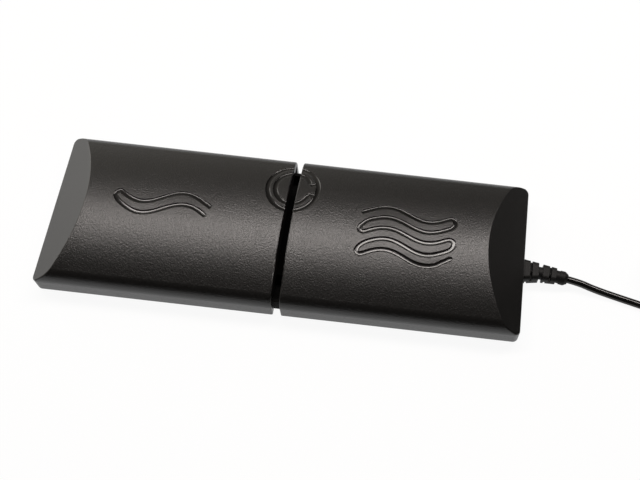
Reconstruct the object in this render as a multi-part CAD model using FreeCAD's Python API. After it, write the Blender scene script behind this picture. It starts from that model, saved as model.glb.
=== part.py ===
import FreeCAD, Part
import math
import os

# A low foot switch with two arched pedals side by side, on one tray.
# Each pedal is hinged at its outer end, so its inner end goes down when it is pressed.
# Millimetres. +X runs along the bar towards the cord, +Y to the back, +Z up.
# The origin is on the floor under the middle of the bar.

Vector = FreeCAD.Vector
UP = Vector(0, 0, 1)
RIGHT = Vector(1, 0, 0)
BACK = Vector(0, 1, 0)

# Driving dimensions of the two pedals
overall_length = 280.0
overall_width = 96.0
overall_height = 30.5
rim_height = 4.5
skirt_height = 9.5
shoulder_radius = 9.0
end_slope_deg = 35.5
pedal_gap = 4.6
pedal_wall = 2.5
gap_wall = 2.0
gap_wall_bottom = 17.5
plan_corner_radius = 3.3
edge_radius = 0.8
pedal_rib_thickness = 1.6
pedal_rib_y = 14.0
pedal_rib_bottom = 21.0
pedal_rib_inset = 30.0
pedal_cross_ribs = (60.0, 90.0)

# How far a pedal turns when it is pressed
pedal_travel_deg = 1.6

# Tray
tray_underside = 2.0
tray_floor = 2.5
tray_wall = 2.0
tray_wall_top = 12.0
tray_side_clearance = 2.5
tray_end_clearance = 3.5
tray_corner_radius = 4.0
tray_rib_thickness = 1.4
tray_rib_height = 2.5
tray_rib_y = 12.0
tray_cross_ribs = (68.0, 90.0)
tray_rib_start = 56.0
tray_rib_end_inset = 28.0

# Rubber feet
foot_radius = 7.0
foot_height = 3.0
foot_recess = 1.0
foot_end_inset = 19.0
foot_side_inset = 11.0
foot_edge = 0.6

# Hinges
hinge_inset = 14.0
hinge_height = 9.0
pin_radius = 1.5
pin_blind_depth = 3.4
pin_end_inset = 0.6
running_clearance = 0.05
lug_radius = 4.2
lug_thickness = 4.0
lug_depth_at_wall = 7.0
hook_width = 8.0
hook_side_gap = 1.0
hook_radius = 4.0
hook_mouth = 2.5
hook_web = 4.4

# Return springs
spring_x = 45.0
spring_y = 25.0
spring_mean_radius = 4.1
spring_wire = 0.9
spring_turns = 5.0
spring_end_pitch = 1.4
spring_seat_gap = 0.05
spring_wire_sides = 6
spring_station_count = 4
spring_top = 20.0
spring_stub_radius = 3.1
spring_stub_height = 3.0
spring_boss_radius = 5.6

# Catches that hold the inner ends against the springs
catch_x = 10.5
catch_plate = 2.0
catch_width = 10.0
catch_top = 12.0
catch_bar = 1.5
catch_side_gap = 0.7
catch_toe = 1.6
catch_toe_reach = 1.6
catch_stem_gap = 0.5
catch_rest_gap = 0.1
catch_post = 1.5

# Rubber stops under the inner ends
stop_x = 20.0
stop_wall_gap = 1.0
stop_radius = 4.0
stop_height = 3.0
stop_post_radius = 3.0
stop_end_gap = 0.1

# Circuit board
board_x = 36.0
board_y = 24.0
board_thickness = 1.6
board_standoff = 2.0
board_corner_radius = 2.0
board_screw_x = 31.5
board_screw_y = 19.5
board_boss_radius = 3.0
screw_radius = 1.1
screw_clearance = 0.2
screw_head_radius = 2.3
screw_head_height = 1.7
screw_slot_radius = 0.9
screw_slot_depth = 0.8
screw_end_height = 3.2

# Cover over the board
cover_edge_gap = 1.3
cover_wall = 1.2
cover_top = 13.2
cover_well_radius = 4.0
cover_window_gap = 0.8

# Microswitches
switch_near_x = 10.0
switch_length = 19.8
switch_width = 6.4
switch_height = 10.2
switch_hole_radius = 1.2
switch_hole_inset = 5.15
switch_hole_height = 2.6
lever_pivot_inset = 2.0
lever_pivot_height = 0.7
lever_length = 16.6
lever_thickness = 0.5
lever_width = 4.0
lever_rest_deg = 11.0
lever_ratio = 6.125
lever_pin_radius = 0.5
lever_ear_thickness = 0.8
lever_ear_radius = 1.1
plunger_offset = 5.0
plunger_size_x = 1.2
plunger_size_y = 2.6
plunger_depth = 4.3
plunger_gap = 0.1
post_radius = 1.6
post_gap = 0.15
post_inset = 1.3
terminal_pitch = 7.9
terminal_width = 1.2
terminal_thickness = 0.5
terminal_reach = 1.2
terminal_hole_gap = 0.2

# Small parts on the board
chip_size = 7.0
chip_height = 1.6
chip_y = -13.0
chip_standoff = 0.1
chip_leg_count = 6
chip_leg_pitch = 1.1
chip_leg_width = 0.4
chip_leg_height = 0.5
chip_leg_reach = 1.0
chip_leg_root = 0.2
small_part_length = 2.0
small_part_width = 1.2
small_part_height = 0.8
small_part_pitch = 4.0
small_part_rows = ((-14.0, 12.6), (10.0, -13.0))
small_part_count = 4
crystal_x = -18.75
crystal_y = -13.25
crystal_length = 10.5
crystal_width = 4.5
crystal_height = 3.4
capacitor_x = -20.0
capacitor_y = 14.0
capacitor_radius = 2.0
capacitor_height = 3.6
header_depth = 8.0
header_width = 9.0
header_height = 4.8
header_y = 10.0
header_wall = 0.9
header_gap = 0.5
wire_radius = 0.5
wire_pitch = 1.8
wire_sides = 6
wire_in_jacket = 0.75
wire_straight = 8.0
wire_bend = 17.0

# Cord and its way through the tray
cord_diameter = 4.4
cord_sides = 12
cord_y = -3.5
cord_height = 6.9
cord_end_run = 8.0
jacket_start_x = 62.0
clamp_end_inset = 26.0
clamp_length = 7.0
clamp_width = 18.0
clamp_height = 5.6
clamp_screw_offset = 6.2
clamp_head_recess = 1.2
clamp_edge_radius = 1.5
clamp_grip = 0.05

# Strain relief, from its flange inside the tray to its tip
relief_flange_width = 16.0
relief_flange_thickness = 2.0
relief_flange_top = 11.8
relief_neck_width = 9.0
relief_fit = 0.1
relief_width = 15.4
relief_height = 9.4
relief_corner = 2.4
relief_notch_gap = 0.9
relief_root_length = 9.2
relief_root_end_width = 10.8
relief_root_end_height = 8.6
relief_mid_length = 8.2
relief_mid_width = 10.2
relief_mid_height = 8.2
relief_mid_end_width = 9.0
relief_mid_end_height = 7.6
relief_groove_length = 2.4
relief_core_radius = 3.8
relief_slot = 1.3
relief_slot_core = 2.4
relief_slot_bridge = 0.6
relief_root_slot_inset = 5.2
relief_mid_slot_inset = 4.3
relief_barrel_radius = 4.2
relief_barrel_length = 2.8
relief_cone_length = 2.0
relief_tip_radius = 2.9
relief_bend_deg = -4.0
relief_drop_deg = 2.0
relief_overlap = 0.6

# Coil of the cord, put away
coil_centre_x = 246.5
coil_centre_y = 8.5
coil_middle_radius = 24.2
coil_pitch = 5.1
coil_layers = 4
coil_turns = 11.1
coil_climb_turns = 0.5
coil_station_count = 4
coil_start_deg = -104.0
coil_sides = 8
coil_floor_gap = 1.0
tie_azimuth_deg = 70.0
tie_width = 11.0
tie_thickness = 0.8
tie_gap = 0.15
tie_corner_radius = 2.5

# Plug
plug_x = 307.0
plug_y = -6.4
plug_heading_deg = 6.0
plug_boot_length = 9.0
plug_boot_radius = 3.1
plug_boot_end_radius = 3.7
plug_boot_grooves = 3
plug_boot_first_groove = 1.5
plug_boot_groove_pitch = 2.6
plug_boot_groove = 1.0
plug_boot_groove_depth = 0.7
plug_grip_length = 24.0
plug_grip_width = 15.6
plug_grip_taper = 3.0
plug_grip_height = 7.6
plug_grip_corner = 2.0
plug_shell_length = 12.2
plug_shell_seat = 5.0
plug_shell_width = 12.0
plug_shell_height = 4.5
plug_shell_wall = 0.35
plug_window_size = 2.2
plug_window_y = 2.9
plug_window_from_tip = 6.0
plug_tongue_height = 1.9
plug_tongue_setback = 1.0
plug_tongue_root = 1.5
plug_contact_width = 1.1
plug_contact_thickness = 0.2
plug_contact_length = 8.0
plug_contact_pitch = 2.2
plug_contact_count = 4
plug_contact_setback = 0.8

# Sizes that follow from the ones above
half_width = overall_width / 2
outer_end = overall_length / 2
skirt_top = rim_height + skirt_height
arch_rise = overall_height - skirt_top
end_slope = math.radians(end_slope_deg)
shoulder_y = half_width - shoulder_radius
crown_radius = (shoulder_y ** 2 + arch_rise ** 2 - shoulder_radius ** 2) / (2 * (arch_rise - shoulder_radius))
crown_centre_z = overall_height - crown_radius
travel = math.radians(pedal_travel_deg)
tray_top = tray_underside + tray_floor
tray_half_width = half_width - pedal_wall - tray_side_clearance
tray_end = outer_end - pedal_wall - tray_end_clearance
hinge_x = outer_end - hinge_inset
foot_x = tray_end - foot_end_inset
foot_y = tray_half_width - foot_side_inset
lug_outer_y = tray_half_width - lug_depth_at_wall
lug_inner_y = lug_outer_y - 2 * hook_side_gap - hook_width - lug_thickness
pin_inner_y = lug_inner_y + lug_thickness - pin_blind_depth
catch_y = tray_half_width - tray_wall - catch_width / 2
stop_y = tray_half_width - tray_wall - stop_wall_gap - stop_radius
tray_rib_end = tray_end - tray_rib_end_inset
clamp_x = tray_end - clamp_end_inset
board_bottom = tray_top + board_standoff
board_top = board_bottom + board_thickness
switch_top = board_top + switch_height
lever_pivot_x = switch_near_x + lever_pivot_inset
lever_pivot_z = switch_top + lever_pivot_height
lever_rest = math.radians(lever_rest_deg)
lever_travel = lever_ratio * travel
plunger_x = lever_pivot_x + plunger_offset
plunger_travel = plunger_offset * (math.tan(lever_rest) - math.tan(lever_rest - lever_travel))
cord_radius = cord_diameter / 2

# How far a cut or a joined piece runs past the face that it meets
past = 1.0


# General helpers
def block(x0, x1, y0, y1, z0, z1):
    """A box between two corners, whichever way round they are given."""
    low = Vector(min(x0, x1), min(y0, y1), min(z0, z1))
    return Part.makeBox(abs(x1 - x0), abs(y1 - y0), abs(z1 - z0), low)


def rod(radius, start, end):
    """A round bar from one point to another."""
    along = Vector(*end) - Vector(*start)
    return Part.makeCylinder(radius, along.Length, Vector(*start), along)


def prism(points, direction):
    """A straight-sided outline of points, pushed along a direction."""
    outline = Part.makePolygon([Vector(*p) for p in points] + [Vector(*points[0])])
    return Part.Face(outline).extrude(direction)


def plate(x0, x1, y0, y1, z0, z1, radius):
    """A flat plate with round corners in plan."""
    slab = block(x0, x1, y0, y1, z0, z1)
    corners = [e for e in slab.Edges if abs(e.Vertexes[0].Z - e.Vertexes[-1].Z) > 0.5 * abs(z1 - z0)]
    return slab.makeFillet(radius, corners)


def rounded_outline(width, height, corner):
    """A rectangle with round corners in the YZ plane, centred on the X axis."""
    a = width / 2
    b = height / 2
    k = corner * (1 - math.sqrt(0.5))
    edges = []
    for turn in range(4):
        sy = (1, -1, -1, 1)[turn]
        sz = (1, 1, -1, -1)[turn]
        side = Vector(0, sy * a, sz * (b - corner))
        top = Vector(0, sy * (a - corner), sz * b)
        middle = Vector(0, sy * (a - k), sz * (b - k))
        first, last = (side, top) if turn % 2 == 0 else (top, side)
        edges.append((first, middle, last))
    wire = []
    for index, (first, middle, last) in enumerate(edges):
        wire.append(Part.Arc(first, middle, last).toShape())
        wire.append(Part.LineSegment(last, edges[(index + 1) % 4][0]).toShape())
    return Part.Wire(wire)


def tapered_block(length, size, end_size, corner):
    """A block along X whose rounded section changes from one size to another."""
    start = rounded_outline(size[0], size[1], corner)
    end = rounded_outline(end_size[0], end_size[1], corner)
    end.translate(Vector(length, 0, 0))
    return Part.makeLoft([start, end], True, True)


def fused(pieces):
    """One solid from touching pieces, without the seams between them."""
    return pieces[0].multiFuse(pieces[1:]).removeSplitter()


def mirrored(shape):
    """The same shape on the other half of the bar."""
    return shape.mirror(Vector(0, 0, 0), RIGHT)


def both_ways(shape):
    """A shape and its copy across the middle line of the bar, front to back."""
    return [shape, shape.mirror(Vector(0, 0, 0), BACK)]


# Routes of cords, wires and wound pieces
def tangent_arc(before, corner, after):
    """The arc that rounds a corner of a route: its two ends, its middle and its radius."""
    back = before - corner
    ahead = after - corner
    reach = 0.45 * min(back.Length, ahead.Length)
    back.normalize()
    ahead.normalize()
    half_turn = (math.pi - back.getAngle(ahead)) / 2
    radius = reach / math.tan(half_turn)
    start = corner + back * reach
    end = corner + ahead * reach
    towards = back + ahead
    towards.normalize()
    middle = corner + towards * (radius / math.cos(half_turn) - radius)
    return start, middle, end, radius


def rounded_route(points):
    """Straight runs joined by tangent arcs, with the arcs' radii."""
    points = [Vector(*p) for p in points]
    edges = []
    radii = []
    at = points[0]
    for before, corner, after in zip(points, points[1:], points[2:]):
        start, middle, end, radius = tangent_arc(before, corner, after)
        edges.append(Part.LineSegment(at, start).toShape())
        edges.append(Part.Arc(start, middle, end).toShape())
        radii.append(radius)
        at = end
    edges.append(Part.LineSegment(at, points[-1]).toShape())
    return Part.Wire(edges), radii


def arc_middle(start, corner, end):
    """The middle of the arc from start to end whose end tangents meet at corner."""
    chord_middle = (start + end) * 0.5
    rise = corner - chord_middle
    half_chord = (end - start).Length / 2
    if rise.Length < 1e-9:
        return chord_middle
    quarter_turn = math.atan2(rise.Length, half_chord) / 2
    rise.normalize()
    return chord_middle + rise * (half_chord * math.tan(quarter_turn))


def biarc(start, start_way, end, end_way):
    """Two arcs that join two points and keep the direction at both."""
    chord = end - start
    ways = start_way + end_way
    spread = 2 * (1 - start_way.dot(end_way))
    across = chord.dot(ways)
    if spread < 1e-9:
        reach = chord.dot(chord) / (2 * across)
    else:
        reach = (math.sqrt(across ** 2 + spread * chord.dot(chord)) - across) / spread
    first_corner = start + start_way * reach
    last_corner = end - end_way * reach
    joint = (first_corner + last_corner) * 0.5
    first = Part.Arc(start, arc_middle(start, first_corner, joint), joint)
    last = Part.Arc(joint, arc_middle(joint, last_corner, end), end)
    return [first.toShape(), last.toShape()]


def wound_route(point_at, stations):
    """A smooth path of arcs through a winding, given as a function of the turns made."""
    step = 1e-4
    places = [point_at(t) for t in stations]
    ways = []
    for t in stations:
        way = point_at(t + step) - point_at(t - step)
        way.normalize()
        ways.append(way)
    edges = []
    for index in range(len(stations) - 1):
        edges += biarc(places[index], ways[index], places[index + 1], ways[index + 1])
    return Part.Wire(edges), ways


def section_at(point, way, radius, sides):
    """A section with flat sides, square to a direction."""
    across = way.cross(UP)
    across.normalize()
    second = across.cross(way)
    corners = []
    for index in range(sides + 1):
        angle = 2 * math.pi * (index + 0.5) / sides
        corners.append(point + across * (radius * math.cos(angle)) + second * (radius * math.sin(angle)))
    return Part.makePolygon(corners)


def tube(route, point, way, radius, sides):
    """A solid bar of one section along a route."""
    return route.makePipeShell([section_at(point, way, radius, sides)], True, False)


def corner_radius(radius, sides):
    """How far the corners of a flat-sided section lie out, for the same area as a round one."""
    corner = 2 * math.pi / sides
    return radius * math.sqrt(corner / math.sin(corner))


def routed_tube(name, points, radius, sides):
    """A tube along a route of points, with its radii and volume printed."""
    route, radii = rounded_route(points)
    start = Vector(*points[0])
    way = Vector(*points[1]) - start
    way.normalize()
    solid = tube(route, start, way, corner_radius(radius, sides), sides)
    expected = math.pi * radius ** 2 * route.Length
    print(f"{name}: length {route.Length:.1f}, radii {[round(r, 1) for r in radii]}, "
          f"volume {solid.Volume / expected:.4f} of section times length")
    return solid


def least_self_gap(name, point_at, turns, section_radius):
    """Prints the least gap between neighbouring turns of a winding, measured on points."""
    per_turn = 48
    places = [point_at(index / per_turn) for index in range(int(turns * per_turn) + 1)]
    least = min(
        (places[j] - places[i]).Length
        for i in range(len(places))
        for j in range(i + per_turn // 2, len(places))
    )
    print(f"{name}: least gap to itself {least - 2 * section_radius:.2f}")


# Pedals
def arch_outline(x, inset, bottom):
    """The arched section of a pedal at x: upright sides, round shoulders and a wide crown."""
    side = half_width - inset
    shoulder = shoulder_radius - inset
    crown = crown_radius - inset
    lean = math.atan2(shoulder_y, skirt_top - crown_centre_z)
    join_y = crown * math.sin(lean)
    join_z = crown_centre_z + crown * math.cos(lean)
    bend = (math.pi / 2 + lean) / 2
    bend_y = shoulder_y + shoulder * math.sin(bend)
    bend_z = skirt_top + shoulder * math.cos(bend)
    edges = [
        Part.LineSegment(Vector(x, -side, bottom), Vector(x, -side, skirt_top)),
        Part.Arc(Vector(x, -side, skirt_top), Vector(x, -bend_y, bend_z), Vector(x, -join_y, join_z)),
        Part.Arc(Vector(x, -join_y, join_z), Vector(x, 0, crown_centre_z + crown), Vector(x, join_y, join_z)),
        Part.Arc(Vector(x, join_y, join_z), Vector(x, bend_y, bend_z), Vector(x, side, skirt_top)),
        Part.LineSegment(Vector(x, side, skirt_top), Vector(x, side, bottom)),
        Part.LineSegment(Vector(x, side, bottom), Vector(x, -side, bottom)),
    ]
    return Part.Face(Part.Wire([e.toShape() for e in edges]))


def end_slope_z(x, inset):
    """Height of the sloping end face at x, drawn in by inset."""
    return skirt_top + (outer_end - x) * math.tan(end_slope) - inset / math.cos(end_slope)


def pedal_form(inset, start, bottom):
    """The right pedal's outer form drawn in by inset: arch, sloping end, round corners at its outer end."""
    end = outer_end - inset
    above = overall_height + past
    arch = arch_outline(start, inset, bottom).extrude(Vector(end - start, 0, 0))
    top_x = outer_end - (above - skirt_top + inset / math.cos(end_slope)) / math.tan(end_slope)
    side_view = prism(
        [
            (start, -half_width, bottom),
            (end, -half_width, bottom),
            (end, -half_width, end_slope_z(end, inset)),
            (top_x, -half_width, above),
            (start, -half_width, above),
        ],
        Vector(0, overall_width, 0),
    )
    side = half_width - inset
    plan = plate(start - plan_corner_radius, end, -side, side, bottom, above, plan_corner_radius - inset)
    return arch.common(side_view).common(plan)


def rounded_pedal_form(start):
    """The right pedal's outer form with round edges, flat and sharp only at its rim."""
    core = pedal_form(edge_radius, start + edge_radius, rim_height - 2 * edge_radius)
    grown = core.makeOffsetShape(edge_radius, 1e-4, join=0)
    return grown.common(block(
        start - past, outer_end + past, -half_width - past, half_width + past,
        rim_height, overall_height + past,
    ))


def pedal_core():
    """The middle of the right pedal's wall, where what hangs inside the pedal ends."""
    return pedal_form(pedal_wall / 2, (pedal_gap + gap_wall) / 2, rim_height)


def under_the_arch(tool, core):
    """What hangs inside a pedal, cut off where it reaches the middle of the pedal's wall."""
    return tool.common(core)


def hinge_hook(core):
    """A hook that snaps over a hinge pin, on a web that hangs from the end face."""
    y0 = lug_inner_y + lug_thickness + hook_side_gap
    y1 = lug_outer_y - hook_side_gap
    barrel = rod(hook_radius, (hinge_x, y0, hinge_height), (hinge_x, y1, hinge_height))
    web = block(hinge_x - hook_web / 2, hinge_x + hook_web / 2, y0, y1, hinge_height, overall_height)
    bore = rod(pin_radius + running_clearance, (hinge_x, y0, hinge_height), (hinge_x, y1, hinge_height))
    mouth = block(
        hinge_x - hook_mouth / 2, hinge_x + hook_mouth / 2,
        y0, y1,
        hinge_height - 2 * hook_radius, hinge_height,
    )
    return barrel.fuse(under_the_arch(web, core)).cut(bore).cut(mouth)


def spring_boss(core):
    """The seat and locating stub over one return spring."""
    boss = rod(spring_boss_radius, (spring_x, spring_y, spring_top), (spring_x, spring_y, overall_height))
    stub_end = spring_top - spring_stub_height
    stub = rod(spring_stub_radius, (spring_x, spring_y, stub_end), (spring_x, spring_y, spring_top + past))
    return under_the_arch(boss, core).fuse(stub)


def catch_bar_bottom():
    """Underside of the bar that a pedal's catch hooks under."""
    return catch_top - catch_bar


def catch_hook(core):
    """The stem and toe that hook under a catch on the tray."""
    y0 = catch_y - catch_width / 2 + catch_post + catch_side_gap
    y1 = catch_y + catch_width / 2 - catch_post - catch_side_gap
    stem_x1 = catch_x - catch_stem_gap
    stem_x0 = stem_x1 - catch_plate
    toe_top = catch_bar_bottom() - catch_rest_gap
    toe_bottom = toe_top - catch_toe
    stem = block(stem_x0, stem_x1, y0, y1, toe_bottom, overall_height)
    toe = block(stem_x0, catch_x + catch_toe_reach, y0, y1, toe_bottom, toe_top)
    return under_the_arch(stem, core).fuse(toe)


def stop_post_bottom():
    """Height of a pedal's stop post over its rubber stop at rest."""
    drop = (hinge_x - stop_x + stop_post_radius) * math.sin(travel)
    return tray_top + stop_height + drop + stop_end_gap


def stop_post(core):
    """The post that lands on a rubber stop when the pedal is down."""
    post = rod(stop_post_radius, (stop_x, stop_y, stop_post_bottom()), (stop_x, stop_y, overall_height))
    return under_the_arch(post, core)


def switch_post(core):
    """The post that presses the lever of a switch, near the lever's tip."""
    x = lever_pivot_x + lever_length * math.cos(lever_rest) - post_inset
    tip_top = lever_pivot_z + lever_length * math.sin(lever_rest) + lever_thickness / 2
    post = rod(post_radius, (x, 0, tip_top + post_gap), (x, 0, overall_height))
    return under_the_arch(post, core)


def pedal_ribs(start, core):
    """Stiffening ribs under the arch, two along the pedal and two across it."""
    t = pedal_rib_thickness / 2
    end = outer_end - pedal_rib_inset
    ribs = [block(start, end, pedal_rib_y - t, pedal_rib_y + t, pedal_rib_bottom, overall_height)]
    ribs.append(block(start, end, -pedal_rib_y - t, -pedal_rib_y + t, pedal_rib_bottom, overall_height))
    for x in pedal_cross_ribs:
        ribs.append(block(x - t, x + t, -half_width, half_width, pedal_rib_bottom, overall_height))
    return [under_the_arch(rib, core) for rib in ribs]


def pedal():
    """The right pedal, without the notch for the cord."""
    start = pedal_gap / 2
    cavity = pedal_form(pedal_wall, start + gap_wall, rim_height - past)
    low_gap_wall = block(
        start - past, start + gap_wall + past,
        -half_width + pedal_wall + past, half_width - pedal_wall - past,
        rim_height - past, gap_wall_bottom,
    )
    shell = rounded_pedal_form(start).cut(cavity).cut(low_gap_wall)
    core = pedal_core()
    pieces = [shell] + pedal_ribs(start + gap_wall / 2, core)
    for part in (hinge_hook(core), spring_boss(core), catch_hook(core), stop_post(core)):
        pieces += both_ways(part)
    pieces.append(switch_post(core))
    return fused(pieces)


def cord_notch():
    """The notch in the right pedal's end skirt that the strain relief comes out of."""
    half = relief_width / 2 + relief_notch_gap
    top = cord_height + relief_height / 2 + relief_notch_gap
    return block(outer_end - 2 * pedal_wall, outer_end + past, cord_y - half, cord_y + half, 0, top)


# Tray
def hinge_lugs():
    """Two pairs of lugs on the right half that carry the hinge pins."""
    lugs = []
    wall_inside = tray_half_width - tray_wall / 2
    for y0, y1 in ((lug_inner_y, lug_inner_y + lug_thickness), (lug_outer_y, wall_inside)):
        top = rod(lug_radius, (hinge_x, y0, hinge_height), (hinge_x, y1, hinge_height))
        leg = block(hinge_x - lug_radius, hinge_x + lug_radius, y0, y1, tray_top - past, hinge_height)
        lugs += both_ways(top.fuse(leg))
    return lugs


def pin_span():
    """Where a hinge pin starts and ends across the tray."""
    return pin_inner_y, tray_half_width - pin_end_inset


def hinge_pins(side):
    """The two steel pins of one pedal, front and back."""
    y0, y1 = pin_span()
    pin = rod(pin_radius, (side * hinge_x, y0, hinge_height), (side * hinge_x, y1, hinge_height))
    return Part.makeCompound(both_ways(pin))


def pin_bores():
    """Bores for the hinge pins, open at the tray's sides and blind inside."""
    bores = []
    for side in (-1, 1):
        start = (side * hinge_x, pin_inner_y, hinge_height)
        end = (side * hinge_x, tray_half_width + past, hinge_height)
        bores += both_ways(rod(pin_radius, start, end))
    return bores


def catches():
    """Upright plates with a window, one for each catch of the right pedal."""
    y0 = catch_y - catch_width / 2
    y1 = catch_y + catch_width / 2
    upright = block(catch_x, catch_x + catch_plate, y0, y1, tray_top - past, catch_top)
    window = block(
        catch_x - past, catch_x + catch_plate + past,
        y0 + catch_post, y1 - catch_post,
        tray_top, catch_bar_bottom(),
    )
    return both_ways(upright.cut(window))


def spring_stubs():
    """Stubs on the tray's floor that hold the right pedal's springs in place."""
    start = (spring_x, spring_y, tray_top - past)
    return both_ways(rod(spring_stub_radius, start, (spring_x, spring_y, tray_top + spring_stub_height)))


def tray_ribs():
    """Stiffening ribs on the tray's floor in the right half."""
    t = tray_rib_thickness / 2
    z0 = tray_top - past
    z1 = tray_top + tray_rib_height
    ribs = both_ways(block(tray_rib_start, tray_rib_end, tray_rib_y - t, tray_rib_y + t, z0, z1))
    for x in tray_cross_ribs:
        ribs += both_ways(block(x - t, x + t, tray_rib_y, tray_half_width - tray_wall / 2, z0, z1))
    return ribs


def board_bosses():
    """Bosses that carry the board in the right half."""
    start = (board_screw_x, board_screw_y, tray_top - past)
    return both_ways(rod(board_boss_radius, start, (board_screw_x, board_screw_y, board_bottom)))


def screw_holes():
    """Pilot holes in the tray for the board's screws and the clamp's screws."""
    holes = []
    for x, y in board_screw_places():
        holes.append(rod(screw_radius, (x, y, screw_end_height), (x, y, board_bottom + past)))
    for x, y in clamp_screw_places():
        holes.append(rod(screw_radius, (x, y, screw_end_height), (x, y, tray_top + past)))
    return holes


def foot_places():
    """Centres of the feet, three along the front and three along the back."""
    return [(x, y) for x in (-foot_x, 0, foot_x) for y in (-foot_y, foot_y)]


def relief_gap(half, grow):
    """The slot in the tray's end wall that holds the strain relief's neck."""
    return block(
        tray_end - tray_wall - grow, tray_end + grow,
        cord_y - half, cord_y + half,
        tray_top, tray_wall_top + past,
    )


def base_tray():
    """The tray: floor, low walls, hinge lugs, catches, stubs, ribs and bosses."""
    outside = plate(
        -tray_end, tray_end, -tray_half_width, tray_half_width,
        tray_underside, tray_wall_top, tray_corner_radius,
    )
    inside = plate(
        -tray_end + tray_wall, tray_end - tray_wall,
        -tray_half_width + tray_wall, tray_half_width - tray_wall,
        tray_top, tray_wall_top + past, tray_corner_radius - tray_wall,
    )
    half = hinge_lugs() + catches() + spring_stubs() + tray_ribs() + board_bosses()
    body = fused([outside.cut(inside)] + half + [mirrored(p) for p in half])
    cuts = pin_bores() + screw_holes() + [relief_gap(relief_neck_width / 2 + relief_fit, 1)]
    for x, y in foot_places():
        top = tray_underside + foot_recess
        cuts.append(rod(foot_radius + relief_fit, (x, y, tray_underside - past), (x, y, top)))
    return body.cut(cuts)


def rubber_feet():
    """Round rubber feet in shallow recesses under the tray."""
    feet = []
    for x, y in foot_places():
        foot = rod(foot_radius, (x, y, 0), (x, y, foot_height))
        ground_edge = [e for e in foot.Edges if e.BoundBox.ZMax < 1e-6]
        feet.append(foot.makeChamfer(foot_edge, ground_edge))
    return Part.makeCompound(feet)


def bump_stops():
    """Rubber stops that end the travel of both pedals."""
    stops = []
    for side in (-1, 1):
        x = side * stop_x
        stops += both_ways(rod(stop_radius, (x, stop_y, tray_top), (x, stop_y, tray_top + stop_height)))
    return Part.makeCompound(stops)


# Return springs
def spring_point(turn):
    """A point of a spring's wire after some turns: close-wound ends, open in the middle."""
    low = tray_top + spring_seat_gap + spring_wire / 2
    high = spring_top - spring_seat_gap - spring_wire / 2
    middle_pitch = (high - low - 2 * spring_end_pitch) / (spring_turns - 2)
    if turn < 1:
        z = low + spring_end_pitch * turn
    elif turn > spring_turns - 1:
        z = high - spring_end_pitch * (spring_turns - turn)
    else:
        z = low + spring_end_pitch + middle_pitch * (turn - 1)
    angle = 2 * math.pi * turn
    return Vector(spring_mean_radius * math.cos(angle), spring_mean_radius * math.sin(angle), z)


def spring():
    """One compression spring on the Z axis."""
    steps = round(spring_turns * spring_station_count)
    stations = [spring_turns * index / steps for index in range(steps + 1)]
    route, ways = wound_route(spring_point, stations)
    return tube(route, spring_point(0), ways[0], spring_wire / 2, spring_wire_sides)


def return_springs(side, one):
    """The two return springs under one pedal."""
    places = [Vector(side * spring_x, y, 0) for y in (-spring_y, spring_y)]
    return Part.makeCompound([one.translated(place) for place in places])


# Circuit board and what it carries
def board_screw_places():
    """Centres of the four screws through the cover and the board."""
    return [(x, y) for x in (-board_screw_x, board_screw_x) for y in (-board_screw_y, board_screw_y)]


def terminal_places():
    """Centres of the solder pins of both switches."""
    first = switch_near_x + switch_length / 2 - terminal_pitch
    return [side * (first + terminal_pitch * index) for side in (-1, 1) for index in range(3)]


def circuit_board():
    """The board, with its screw holes and the slots for the switches' pins."""
    board = plate(-board_x, board_x, -board_y, board_y, board_bottom, board_top, board_corner_radius)
    cuts = []
    for x, y in board_screw_places():
        below = (x, y, board_bottom - past)
        cuts.append(rod(screw_radius + screw_clearance, below, (x, y, board_top + past)))
    half_x = terminal_width / 2 + terminal_hole_gap
    half_y = terminal_thickness / 2 + terminal_hole_gap
    for x in terminal_places():
        cuts.append(block(x - half_x, x + half_x, -half_y, half_y, board_bottom - past, board_top + past))
    return board.cut(cuts)


def screw(x, y, seat):
    """A pan-head screw whose head sits at height seat."""
    head = rod(screw_head_radius, (x, y, seat), (x, y, seat + screw_head_height))
    shank = rod(screw_radius, (x, y, screw_end_height), (x, y, seat))
    top = seat + screw_head_height
    socket = rod(screw_slot_radius, (x, y, top - screw_slot_depth), (x, y, top + past))
    return head.fuse(shank).cut(socket).removeSplitter()


def board_screws():
    """Four screws that hold the cover and the board on the tray."""
    return Part.makeCompound([screw(x, y, board_top + cover_wall) for x, y in board_screw_places()])


def board_cover():
    """The cover over the board, with wells for the screws and windows for what stands through it."""
    x = board_x + cover_edge_gap + cover_wall
    y = board_y + cover_edge_gap + cover_wall
    corner = board_corner_radius + cover_wall
    outside = plate(-x, x, -y, y, tray_top, cover_top, corner)
    inside = plate(
        -x + cover_wall, x - cover_wall, -y + cover_wall, y - cover_wall,
        tray_top - past, cover_top - cover_wall, board_corner_radius,
    )
    body = outside.cut(inside)
    wells = []
    cuts = []
    for at_x, at_y in board_screw_places():
        wells.append(rod(cover_well_radius, (at_x, at_y, board_top), (at_x, at_y, cover_top)))
        seat = board_top + cover_wall
        cuts.append(rod(cover_well_radius - cover_wall, (at_x, at_y, seat), (at_x, at_y, cover_top + past)))
        cuts.append(rod(screw_radius + screw_clearance, (at_x, at_y, 0), (at_x, at_y, cover_top)))
    for side in (-1, 1):
        x0 = side * (switch_near_x - cover_window_gap)
        x1 = side * (switch_near_x + switch_length + cover_window_gap)
        half = switch_width / 2 + cover_window_gap
        cuts.append(block(x0, x1, -half, half, cover_top - 2 * cover_wall, cover_top + past))
    cuts.append(block(
        board_x - header_depth - header_gap, x + past,
        header_y - header_width / 2 - header_gap, header_y + header_width / 2 + header_gap,
        board_top, cover_top + past,
    ))
    return body.multiFuse(wells).cut(cuts).removeSplitter()


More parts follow.
